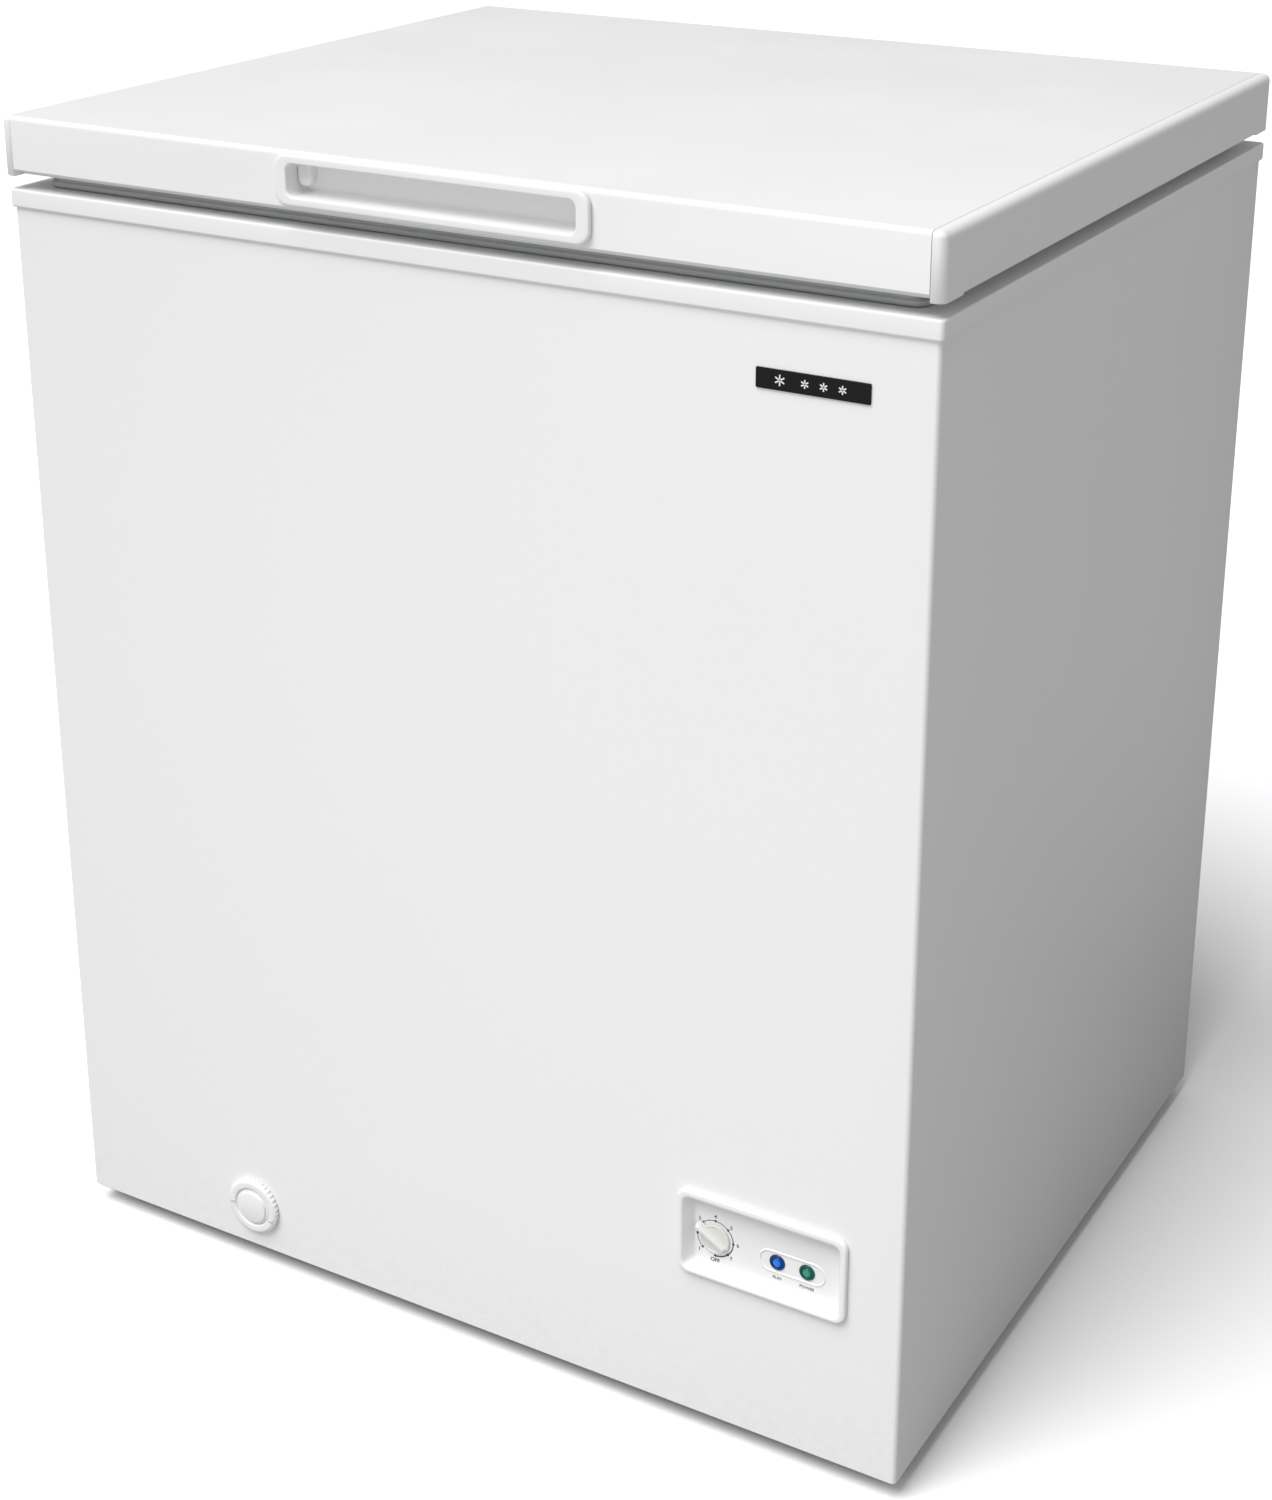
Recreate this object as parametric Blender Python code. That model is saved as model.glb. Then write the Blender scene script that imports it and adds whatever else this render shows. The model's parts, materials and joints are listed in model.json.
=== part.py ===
"""Small chest freezer: insulated cabinet, hinged lid, sliding wire basket, drain and controls.

Metres, +Z up, +X to the right seen from the front, and the front faces -Y.
The origin is on the floor, at the middle of the whole appliance.
"""

import math

import bmesh
import bpy
from mathutils import Matrix, Vector

MM = 0.001
GAP = 0.3 * MM  # air left between pieces that touch
EMBED = 0.5 * MM  # how far shapes that are joined reach into each other

# Cabinet, outside
FOOT_HEIGHT = 14 * MM
WRAPPER_WIDTH = 681.7 * MM
WRAPPER_DEPTH = 576.4 * MM
WRAPPER_HEIGHT = 773 * MM
FRONT = -298.2 * MM
BACK = FRONT + WRAPPER_DEPTH
HALF = WRAPPER_WIDTH / 2
BASE = FOOT_HEIGHT
TOP = BASE + WRAPPER_HEIGHT
SHEET = 0.7 * MM
WRAPPER_CORNER = 5 * MM
WRAPPER_FLANGE = 12 * MM

# Storage tub and the raised step over the compressor
TUB_HALF = 276 * MM
TUB_FRONT = -236 * MM
TUB_BACK = 216 * MM
TUB_FLOOR = 85.2 * MM
STEP_X = 118 * MM
STEP_TOP = 302 * MM
LINER = 1.2 * MM
LINER_CORNER = 9 * MM
TUBE_SPACE = 7 * MM  # room for the evaporator tube behind the liner
SKIN_SPACE = 6.5 * MM  # room for the condenser tube behind the wrapper
TUBE_BEND = 20 * MM  # at the condenser tube's corners

# Compressor compartment, in the lower right of the cabinet
ROOM_LEFT = 165 * MM
ROOM_TOP = 255 * MM

# Plastic frame round the cabinet's mouth
FRAME_TOP = 799.8 * MM
FRAME_SIDE = 1.9 * MM
FRAME_FRONT = 2.2 * MM
FRAME_REAR = 3.6 * MM
MOUTH_HALF = 272 * MM
MOUTH_FRONT = -232 * MM
MOUTH_BACK = 212 * MM
FRAME_WALL = 2.5 * MM
FRAME_SKIRT = 18 * MM

# Lid
LID_HALF = 343.1 * MM
LID_FRONT = -303 * MM
LID_BACK = 284.5 * MM
LID_TOP = 850 * MM
LID_FOOT = 809.1 * MM
SKIN_BOTTOM = 813 * MM
LID_EDGE = 3.5 * MM
CAP_WIDTH = 8.4 * MM
CAP_FOOT_LENGTH = 27 * MM
CAP_NOTCH = 1.2 * MM
CAP_EDGE = 5.5 * MM
PLUG_BOTTOM = 787 * MM
PLUG_MARGIN = 10 * MM
LINER_FLANGE = 2.2 * MM
GASKET_INSET = 19 * MM
GASKET_WIDTH = 15 * MM

# Hinges
HINGE_Y = 292 * MM
HINGE_Z = 806 * MM
HINGE_X = 200 * MM
PIN_RADIUS = 3 * MM
PIN_CLEARANCE = 0.4 * MM
ARM_HALF = 18 * MM
EAR = 2 * MM

# Grip moulded into the lid's front
GRIP_X = 3.5 * MM
GRIP_Z = 832 * MM
GRIP_WIDTH = 231 * MM
GRIP_HEIGHT = 33 * MM
GRIP_PROUD = 4 * MM
POCKET_WIDTH = 211 * MM
POCKET_HEIGHT = 20.3 * MM
POCKET_DEPTH = 13.5 * MM
POCKET_WALL = 1.6 * MM
BOSS_WIDTH = 10 * MM
BOSS_LENGTH = 15.5 * MM
BOSS_DEPTH = 6.5 * MM

# Control panel, on the right of the front near the floor
PANEL_X = 240.8 * MM
PANEL_Z = 158 * MM
PANEL_WIDTH = 124.5 * MM
PANEL_HEIGHT = 64 * MM
PANEL_PROUD = 4 * MM
PANEL_RIM = 5.5 * MM
PANEL_FLOOR = FRONT + 6 * MM  # the recessed face that carries the controls
PANEL_WALL = 2 * MM
DIAL_X = 203.1 * MM
DIAL_Z = 152.4 * MM
KNOB_RADIUS = 11 * MM
KNOB_THICK = 1.6 * MM
POINTER_ANGLE = 53  # degrees to the left of upright
POINTER_TIP = 16 * MM
POINTER_HEIGHT = 5 * MM
LAMP_RADIUS = 6 * MM
BLUE_X = 249.2 * MM
GREEN_X = 270.9 * MM
LAMP_Z = 150.3 * MM
THERMOSTAT_SIZE = (32 * MM, 44 * MM)
BOARD_SIZE = (GREEN_X - BLUE_X + 28 * MM, 22 * MM)

# Name plate
BADGE_X = 262.9 * MM
BADGE_Z = 750.7 * MM
BADGE_WIDTH = 73.4 * MM
BADGE_HEIGHT = 12.5 * MM
BADGE_THICK = 0.8 * MM

# Drain, on the left of the front near the floor
DRAIN_X = -181.5 * MM
DRAIN_Z = 50 * MM
DRAIN_WELL_Y = -185 * MM
CAP_RADIUS = 22.2 * MM
CAP_THICK = 4.4 * MM
CAP_TEETH = 36
PIPE_RADIUS = 13 * MM
PIPE_BORE = 10.3 * MM

# Wire basket
BASKET_LEFT = 62 * MM
BASKET_RIGHT = 262 * MM
BASKET_FRONT = -225 * MM
BASKET_BACK = 205 * MM
BASKET_BOTTOM = 592 * MM
BASKET_TOP = 780 * MM
WIRE = 3 * MM

# Compressor
COMPRESSOR_X = 252 * MM
COMPRESSOR_Y = 150 * MM
COMPRESSOR_RADIUS = 66 * MM
DRIER_X = 205 * MM
DRIER_Y = -20 * MM

# Ventilation grille and cord gland on the back
GRILLE_MARGIN = 17 * MM  # from the grille's edge to its slots
GRILLE_LOW = 32 * MM
GRILLE_HIGH = 210 * MM
SLOT_COUNT = 9
SLOT_PITCH = 16 * MM
SLOT_HEIGHT = 8 * MM
GLAND_Z = 232 * MM

AXES = {"X": (1, 2), "Y": (0, 2), "Z": (0, 1)}


def clear_scene():
    for obj in list(bpy.data.objects):
        bpy.data.objects.remove(obj, do_unlink=True)


def material(name, colour, roughness, metallic=0.0):
    made = bpy.data.materials.new(name)
    made.use_nodes = True
    shader = made.node_tree.nodes["Principled BSDF"]
    shader.inputs["Base Color"].default_value = (*colour, 1.0)
    shader.inputs["Roughness"].default_value = roughness
    shader.inputs["Metallic"].default_value = metallic
    return made


def finish(bm, name, look):
    """Turns the bmesh into a scene object with its faces pointing out."""
    bmesh.ops.recalc_face_normals(bm, faces=bm.faces)
    if bm.calc_volume(signed=True) < 0:
        bmesh.ops.reverse_faces(bm, faces=bm.faces)
    mesh = bpy.data.meshes.new(name)
    bm.to_mesh(mesh)
    bm.free()
    mesh.materials.append(look)
    mesh.shade_smooth()
    mesh.set_sharp_from_angle(angle=math.radians(35))
    obj = bpy.data.objects.new(name, mesh)
    bpy.context.scene.collection.objects.link(obj)
    return obj


def block(name, low, high, look):
    """A box between two opposite corners."""
    low, high = Vector(low), Vector(high)
    bm = bmesh.new()
    size = Matrix.Diagonal((*(high - low), 1.0))
    bmesh.ops.create_cube(bm, size=1.0, matrix=Matrix.Translation((low + high) / 2) @ size)
    return finish(bm, name, look)


def front_block(name, centre, size, front, back, look):
    """A box behind a rectangle on the front, its centre and size given in X and Z."""
    (x, z), (width, height) = centre, size
    low = (x - width / 2, front, z - height / 2)
    high = (x + width / 2, back, z + height / 2)
    return block(name, low, high, look)


def placed(axis, flat, height):
    """The 3-D point whose two coordinates across the axis are flat, at this height along it."""
    point = Vector((0.0, 0.0, 0.0))
    first, second = AXES[axis]
    point[first], point[second] = flat
    point["XYZ".index(axis)] = height
    return point


def loft(name, rings, look, closed=False):
    """Skin over rings of points: capped at both ends, or joined end to end when closed."""
    bm = bmesh.new()
    loops = [[bm.verts.new(point) for point in ring] for ring in rings]
    if closed:
        loops.append(loops[0])
    else:
        bm.faces.new(loops[0])
        bm.faces.new(loops[-1])
    for first, second in zip(loops, loops[1:]):
        for i in range(len(first)):
            bm.faces.new((first[i - 1], first[i], second[i], second[i - 1]))
    return finish(bm, name, look)


def prism(name, outline, axis, start, end, look):
    """A flat outline extruded along an axis."""
    return loft(name, [[placed(axis, p, h) for p in outline] for h in (start, end)], look)


def arc(centre, radius, start, end, steps):
    """Points on an arc, angles in degrees."""
    angles = [math.radians(start + (end - start) * i / steps) for i in range(steps + 1)]
    return [(centre[0] + radius * math.cos(a), centre[1] + radius * math.sin(a)) for a in angles]


def rounded_rect(centre, width, height, radius, steps=3):
    corners = ((1, 1, 0), (-1, 1, 90), (-1, -1, 180), (1, -1, 270))
    points = []
    for sx, sy, start in corners:
        middle = (centre[0] + sx * (width / 2 - radius), centre[1] + sy * (height / 2 - radius))
        points += arc(middle, radius, start, start + 90, steps)
    return points


def circle(centre, radius, count):
    return arc(centre, radius, 0, 360 * (count - 1) / count, count - 1)


def slab(name, outline_at, axis, levels, look):
    """Loft of one outline rule through (height, inset) levels."""
    rings = [[placed(axis, p, height) for p in outline_at(inset)] for height, inset in levels]
    return loft(name, rings, look)


def lathe(name, profile, axis, centre, look, count=24, closed=False):
    """Rings of (height, radius) about an axis through the centre."""
    rings = [[placed(axis, p, h) for p in circle(centre, r, count)] for h, r in profile]
    return loft(name, rings, look, closed)


def mouth_ring(half, front, back, height, radius, steps=3):
    """A rounded rectangle in plan, for pieces that run round the cabinet's mouth."""
    outline = rounded_rect((0, (front + back) / 2), 2 * half, back - front, radius, steps)
    return [placed("Z", p, height) for p in outline]


def boolean(obj, operation, others):
    """Cuts or joins helper objects, which stay as hidden guides."""
    for other in others:
        modifier = obj.modifiers.new(other.name, "BOOLEAN")
        modifier.operation = operation
        modifier.object = other
        other.hide_render = True
        other.display_type = "WIRE"
    return obj


def tube(name, points, radius, look, resolution=2):
    """A bent tube through the points."""
    curve = bpy.data.curves.new(name, "CURVE")
    curve.dimensions = "3D"
    curve.bevel_depth = radius
    curve.bevel_resolution = resolution
    curve.use_fill_caps = True
    spline = curve.splines.new("POLY")
    spline.points.add(len(points) - 1)
    for point, place in zip(spline.points, points):
        point.co = (*place, 1.0)
    curve.materials.append(look)
    obj = bpy.data.objects.new(name, curve)
    bpy.context.scene.collection.objects.link(obj)
    return obj


def smooth_route(points, steps=4):
    """Catmull-Rom curve through hand-placed points."""
    points = [Vector(p) for p in points]
    padded = [2 * points[0] - points[1], *points, 2 * points[-1] - points[-2]]
    route = []
    for a, b, c, d in zip(padded, padded[1:], padded[2:], padded[3:]):
        for i in range(steps):
            t = i / steps
            bend = (2 * a - 5 * b + 4 * c - d) * t * t + (3 * b - a - 3 * c + d) * t**3
            route.append(0.5 * (2 * b + (c - a) * t + bend))
    return route + [points[-1]]


def wound_tube(name, half, front, back, bend, bottom, top, turns, radius, look):
    """A tube wound round the tub as a rectangular helix with rounded corners."""
    loop = rounded_rect((0, (front + back) / 2), 2 * half, back - front, bend, 3)
    count = turns * len(loop)
    rise = (top - bottom) / (count - 1)
    points = [(*loop[i % len(loop)], bottom + rise * i) for i in range(count)]
    return tube(name, points, radius, look, resolution=1)


def carry(name, place, pieces):
    """An empty on a joint's axis that carries the pieces that move with it."""
    pivot = bpy.data.objects.new(name, None)
    pivot.location = place
    bpy.context.scene.collection.objects.link(pivot)
    for piece in pieces:
        bpy.data.objects[piece].parent = pivot
        bpy.data.objects[piece].location = -Vector(place)


def wrapper_path(inset):
    """The wrapper's plan from one rear flange round the front to the other."""
    half, front, back = HALF - inset, FRONT + inset, BACK - inset
    radius = WRAPPER_CORNER - inset
    end = HALF - WRAPPER_FLANGE
    right = arc((half - radius, front + radius), radius, 0, -90, 4)
    left = arc((radius - half, front + radius), radius, 270, 180, 4)
    return [(end, back), (half, back), *right, *left, (-half, back), (-end, back)]


def tub_block(name, grow, top, look):
    """The tub's inner space with its step, grown by a wall thickness."""
    right, left = TUB_HALF + grow, -TUB_HALF - grow
    outline = [
        (left, TUB_FLOOR - grow),
        (STEP_X + grow, TUB_FLOOR - grow),
        (STEP_X + grow, STEP_TOP - grow),
        (right, STEP_TOP - grow),
        (right, top),
        (left, top),
    ]
    obj = prism(name, outline, "Y", TUB_FRONT - grow, TUB_BACK + grow, look)
    bm = bmesh.new()
    bm.from_mesh(obj.data)
    upright = [e for e in bm.edges if abs((e.verts[0].co - e.verts[1].co).normalized().z) > 0.9]
    radius = LINER_CORNER + grow
    bmesh.ops.bevel(bm, geom=upright, offset=radius, segments=3, profile=0.5, affect="EDGES")
    bm.to_mesh(obj.data)
    bm.free()
    return obj


def make_cabinet(looks):
    outline = wrapper_path(0) + wrapper_path(SHEET)[::-1]
    wrapper = prism("outer_wrapper", outline, "Z", BASE, TOP, looks["white_enamel"])
    window = front_block(
        "guide_panel_window",
        (PANEL_X, PANEL_Z),
        (PANEL_WIDTH - 2 * (PANEL_RIM - GAP), PANEL_HEIGHT - 2 * (PANEL_RIM - GAP)),
        FRONT - EMBED,
        FRONT + 2 * SHEET,
        looks["white_enamel"],
    )
    drain_hole = prism(
        "guide_drain_hole",
        circle((DRAIN_X, DRAIN_Z), PIPE_BORE, 16),
        "Y",
        FRONT - EMBED,
        FRONT + 2 * SHEET,
        looks["white_enamel"],
    )
    boolean(wrapper, "DIFFERENCE", [window, drain_hole])

    inner_half = HALF - SHEET - GAP
    panel_y = BACK - SHEET - GAP
    back_panel = block(
        "back_panel", (-inner_half, panel_y - SHEET, BASE), (inner_half, panel_y, TOP), looks["grey_steel"]
    )
    vent = block(
        "guide_vent_opening",
        (ROOM_LEFT + 25 * MM, panel_y - 2 * SHEET, GRILLE_LOW + 10 * MM),
        (HALF - 32 * MM, panel_y + SHEET, GRILLE_HIGH - 10 * MM),
        looks["grey_steel"],
    )
    gland_hole = prism(
        "guide_gland_hole",
        circle((COMPRESSOR_X, GLAND_Z), 8 * MM, 16),
        "Y",
        panel_y - 2 * SHEET,
        panel_y + SHEET,
        looks["grey_steel"],
    )
    boolean(back_panel, "DIFFERENCE", [vent, gland_hole])

    pan_front, pan_back = FRONT + SHEET + GAP, panel_y - SHEET - GAP
    pan_middle = (0, (pan_front + pan_back) / 2)
    pan = rounded_rect(pan_middle, 2 * inner_half, pan_back - pan_front, WRAPPER_CORNER)
    prism("base_pan", pan, "Z", BASE, BASE + MM, looks["grey_steel"])

    inset = 50 * MM
    corners = [(s * (HALF - inset), y) for y in (FRONT + inset, BACK - inset) for s in (-1, 1)]
    profile = [(0, 15 * MM), (2 * MM, 17 * MM), (BASE - 4 * MM, 17 * MM), (BASE - GAP, 13 * MM)]
    for number, corner in enumerate(corners, start=1):
        lathe(f"foot_{number}", profile, "Z", corner, looks["grey_plastic"], count=16)


def make_insulation(looks):
    outer_half = HALF - SHEET - SKIN_SPACE
    foam_back = BACK - 2 * SHEET - GAP - SKIN_SPACE
    foam_front = FRONT + SHEET + SKIN_SPACE
    middle = (0, (foam_front + foam_back) / 2)
    corner = TUBE_BEND - SKIN_SPACE / 2
    plan = rounded_rect(middle, 2 * outer_half, foam_back - foam_front, corner)
    foam = prism("cabinet_foam", plan, "Z", BASE + MM + GAP, TOP - 2 * MM, looks["foam"])
    cavity = tub_block("guide_foam_cavity", LINER + TUBE_SPACE, TOP + EMBED, looks["foam"])
    room = block(
        "guide_compressor_room",
        (ROOM_LEFT, FRONT, 0),
        (HALF, BACK, ROOM_TOP),
        looks["foam"],
    )
    channel = block(
        "guide_drain_channel",
        (DRAIN_X - 15 * MM, FRONT, DRAIN_Z - 15 * MM),
        (DRAIN_X + 15 * MM, DRAIN_WELL_Y + 15 * MM, DRAIN_Z + 15 * MM),
        looks["foam"],
    )
    well = block(
        "guide_drain_well",
        (DRAIN_X - 13 * MM, DRAIN_WELL_Y - 13 * MM, DRAIN_Z),
        (DRAIN_X + 13 * MM, DRAIN_WELL_Y + 13 * MM, TUB_FLOOR),
        looks["foam"],
    )
    boolean(foam, "DIFFERENCE", [cavity, room, channel, well])

    make_liner(looks)

    away = LINER + TUBE_SPACE / 2
    wound_tube(
        "evaporator_tube",
        TUB_HALF + away,
        TUB_FRONT - away,
        TUB_BACK + away,
        LINER_CORNER + away,
        STEP_TOP + 20 * MM,
        TOP - 40 * MM,
        6,
        2.8 * MM,
        looks["aluminium_tube"],
    )
    wound_tube(
        "condenser_tube",
        HALF - SHEET - SKIN_SPACE / 2,
        FRONT + SHEET + SKIN_SPACE / 2,
        foam_back + SKIN_SPACE / 2,
        TUBE_BEND,
        ROOM_TOP + 20 * MM,
        TOP - 60 * MM,
        5,
        2.4 * MM,
        looks["copper_tube"],
    )


def make_liner(looks):
    """The tub: one wrapped sheet for its walls, with a flange, and a folded sheet for its floor and step."""
    look = looks["white_liner"]
    top = TOP - MM
    middle = (0, (TUB_FRONT + TUB_BACK) / 2)
    width, depth = 2 * TUB_HALF, TUB_BACK - TUB_FRONT

    def plan(grow):
        return rounded_rect(middle, width + 2 * grow, depth + 2 * grow, LINER_CORNER + grow)

    walls = prism("inner_liner", plan(LINER), "Z", TUB_FLOOR - LINER, top, look)
    flange = block(
        "guide_liner_flange",
        (-TUB_HALF - 22 * MM, TUB_FRONT - 22 * MM, top - 0.7 * MM),
        (TUB_HALF + 22 * MM, TUB_BACK + 22 * MM, top + EMBED / 2),
        look,
    )
    hollow = prism("guide_liner_hollow", plan(0), "Z", 0, TOP, look)
    under_step = block(
        "guide_liner_under_step",
        (STEP_X + LINER, TUB_FRONT - 30 * MM, 0),
        (HALF, TUB_BACK + 30 * MM, STEP_TOP - LINER),
        look,
    )
    boolean(walls, "UNION", [flange])
    boolean(walls, "DIFFERENCE", [hollow, under_step])

    folds = [
        (-TUB_HALF, TUB_FLOOR),
        (STEP_X, TUB_FLOOR),
        (STEP_X, STEP_TOP),
        (TUB_HALF, STEP_TOP),
        (TUB_HALF, STEP_TOP - LINER),
        (STEP_X + LINER, STEP_TOP - LINER),
        (STEP_X + LINER, TUB_FLOOR - LINER),
        (-TUB_HALF, TUB_FLOOR - LINER),
    ]
    bottom = prism("liner_bottom", folds, "Y", TUB_FRONT, TUB_BACK, look)
    fit = prism("guide_liner_fit", plan(-GAP), "Z", 0, TOP, look)
    outlet = prism(
        "guide_liner_outlet",
        circle((DRAIN_X, DRAIN_WELL_Y), 9 * MM, 16),
        "Z",
        TUB_FLOOR - 4 * LINER,
        TUB_FLOOR + LINER,
        look,
    )
    boolean(bottom, "INTERSECT", [fit])
    boolean(bottom, "DIFFERENCE", [outlet])


def make_mouth_frame(looks):
    half, front, back = HALF + FRAME_SIDE, FRONT - FRAME_FRONT, BACK + FRAME_REAR
    low = TOP + GAP
    lip = 1.4 * MM
    underside = FRAME_TOP - FRAME_WALL
    skirt = FRAME_TOP - FRAME_SKIRT
    inner, wall = 10 * MM, FRAME_WALL

    def ring(inset, height, radius):
        return mouth_ring(half - inset, front + inset, back - inset, height, radius)

    def mouth(grow, height, radius):
        return mouth_ring(MOUTH_HALF + grow, MOUTH_FRONT - grow, MOUTH_BACK + grow, height, radius)

    rings = [
        ring(lip, low, 4 * MM),
        ring(0, low + lip, 5 * MM),
        ring(0, FRAME_TOP - lip, 5 * MM),
        ring(lip, FRAME_TOP, 4 * MM),
        mouth(lip, FRAME_TOP, inner + lip),
        mouth(0, FRAME_TOP - lip, inner),
        mouth(0, skirt, inner),
        mouth(wall, skirt, inner + wall),
        mouth(wall, underside, inner + wall),
        ring(wall + lip, underside, 3 * MM),
        ring(wall + lip, low, 3 * MM),
    ]
    loft("top_frame", rings, looks["white_plastic"], closed=True)


def make_controls(looks):
    """Recessed panel, thermostat with its knob, and the two indicator lamps."""
    centre = (PANEL_X, PANEL_Z)
    face = FRONT - PANEL_PROUD
    inside = (PANEL_WIDTH - 2 * PANEL_RIM, PANEL_HEIGHT - 2 * PANEL_RIM)

    def outline(inset):
        width, height = PANEL_WIDTH - 2 * inset, PANEL_HEIGHT - 2 * inset
        return rounded_rect(centre, width, height, 8 * MM - inset, 4)

    levels = [
        (FRONT - GAP, 0),
        (face + 1.5 * MM, 0),
        (face + 0.4 * MM, 0.6 * MM),
        (face, 1.6 * MM),
    ]
    panel = slab("control_panel", outline, "Y", levels, looks["white_plastic"])
    tray_back = PANEL_FLOOR + PANEL_WALL
    tray = front_block(
        "guide_panel_tray", centre, inside, face + EMBED, tray_back, looks["white_plastic"]
    )

    def recess_outline(inset):
        return rounded_rect(centre, inside[0] - 2 * inset, inside[1] - 2 * inset, 5 * MM, 4)

    recess_levels = [(face - EMBED, -1.5 * MM), (face + 1.2 * MM, 0), (PANEL_FLOOR, 4 * MM)]
    recess = slab("guide_panel_recess", recess_outline, "Y", recess_levels, looks["white_plastic"])
    holes = [
        prism(f"guide_panel_{name}", circle(place, radius, 16), "Y", face, BACK, looks["white_plastic"])
        for name, place, radius in (
            ("shaft_hole", (DIAL_X, DIAL_Z), 3.6 * MM),
            ("blue_hole", (BLUE_X, LAMP_Z), LAMP_RADIUS),
            ("green_hole", (GREEN_X, LAMP_Z), LAMP_RADIUS),
        )
    ]
    boolean(panel, "UNION", [tray])
    boolean(panel, "DIFFERENCE", [recess, *holes])

    body_front = tray_back + 4 * MM
    front_block(
        "thermostat_body",
        (DIAL_X, DIAL_Z),
        THERMOSTAT_SIZE,
        body_front,
        body_front + 26 * MM,
        looks["grey_plastic"],
    )
    make_knob(body_front, looks)

    back = tray_back + 2 * MM
    lens = [
        (back, LAMP_RADIUS - GAP),
        (PANEL_FLOOR - 0.8 * MM, LAMP_RADIUS - GAP),
        (PANEL_FLOOR - 1.4 * MM, LAMP_RADIUS - 1.2 * MM),
        (PANEL_FLOOR - 1.8 * MM, LAMP_RADIUS - 3.4 * MM),
    ]
    lathe("lamp_blue", lens, "Y", (BLUE_X, LAMP_Z), looks["blue_lens"])
    lathe("lamp_green", lens, "Y", (GREEN_X, LAMP_Z), looks["green_lens"])
    front_block(
        "lamp_board",
        ((BLUE_X + GREEN_X) / 2, LAMP_Z),
        BOARD_SIZE,
        back + GAP,
        back + GAP + 1.6 * MM,
        looks["green_board"],
    )


def make_knob(body_front, looks):
    """A thin disc on a shaft, with a wedge-shaped pointer that rises towards its tip."""
    look = looks["knob_plastic"]
    seat = PANEL_FLOOR - GAP
    face = seat - KNOB_THICK
    profile = [
        (body_front - GAP, 3 * MM),
        (seat, 3 * MM),
        (seat, KNOB_RADIUS),
        (face + 0.6 * MM, KNOB_RADIUS),
        (face, KNOB_RADIUS - 0.8 * MM),
    ]
    knob = lathe("thermostat_knob", profile, "Y", (DIAL_X, DIAL_Z), look)
    tail, half = KNOB_RADIUS - 0.4 * MM, 2.6 * MM
    shoulder = POINTER_TIP - 2.4 * MM
    outline = [
        (half, -tail),
        (half, shoulder),
        (0, POINTER_TIP),
        (-half, shoulder),
        (-half, -tail),
    ]
    turn = math.radians(POINTER_ANGLE)

    def pointer(height_at, inset):
        points = []
        for x, along in outline:
            across = x * (1 - inset / half)
            place = (
                DIAL_X + across * math.cos(turn) - along * math.sin(turn),
                DIAL_Z + across * math.sin(turn) + along * math.cos(turn),
            )
            points.append(placed("Y", place, face - height_at((along + tail) / (POINTER_TIP + tail))))
        return points

    low = pointer(lambda share: -EMBED + 0.2 * MM * share, 0)
    high = pointer(lambda share: 0.8 * MM + (POINTER_HEIGHT - 0.8 * MM) * share, 1.1 * MM)
    bar = loft("guide_knob_bar", [low, high], look)
    boolean(knob, "UNION", [bar])


def make_badge(looks):
    def outline(inset):
        width, height = BADGE_WIDTH - 2 * inset, BADGE_HEIGHT - 2 * inset
        return rounded_rect((BADGE_X, BADGE_Z), width, height, MM - inset / 2, 2)

    rear = FRONT - GAP
    levels = [(rear, 0), (rear - BADGE_THICK + 0.2 * MM, 0), (rear - BADGE_THICK, 0.2 * MM)]
    slab("badge_plate", outline, "Y", levels, looks["dark_plate"])


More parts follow.
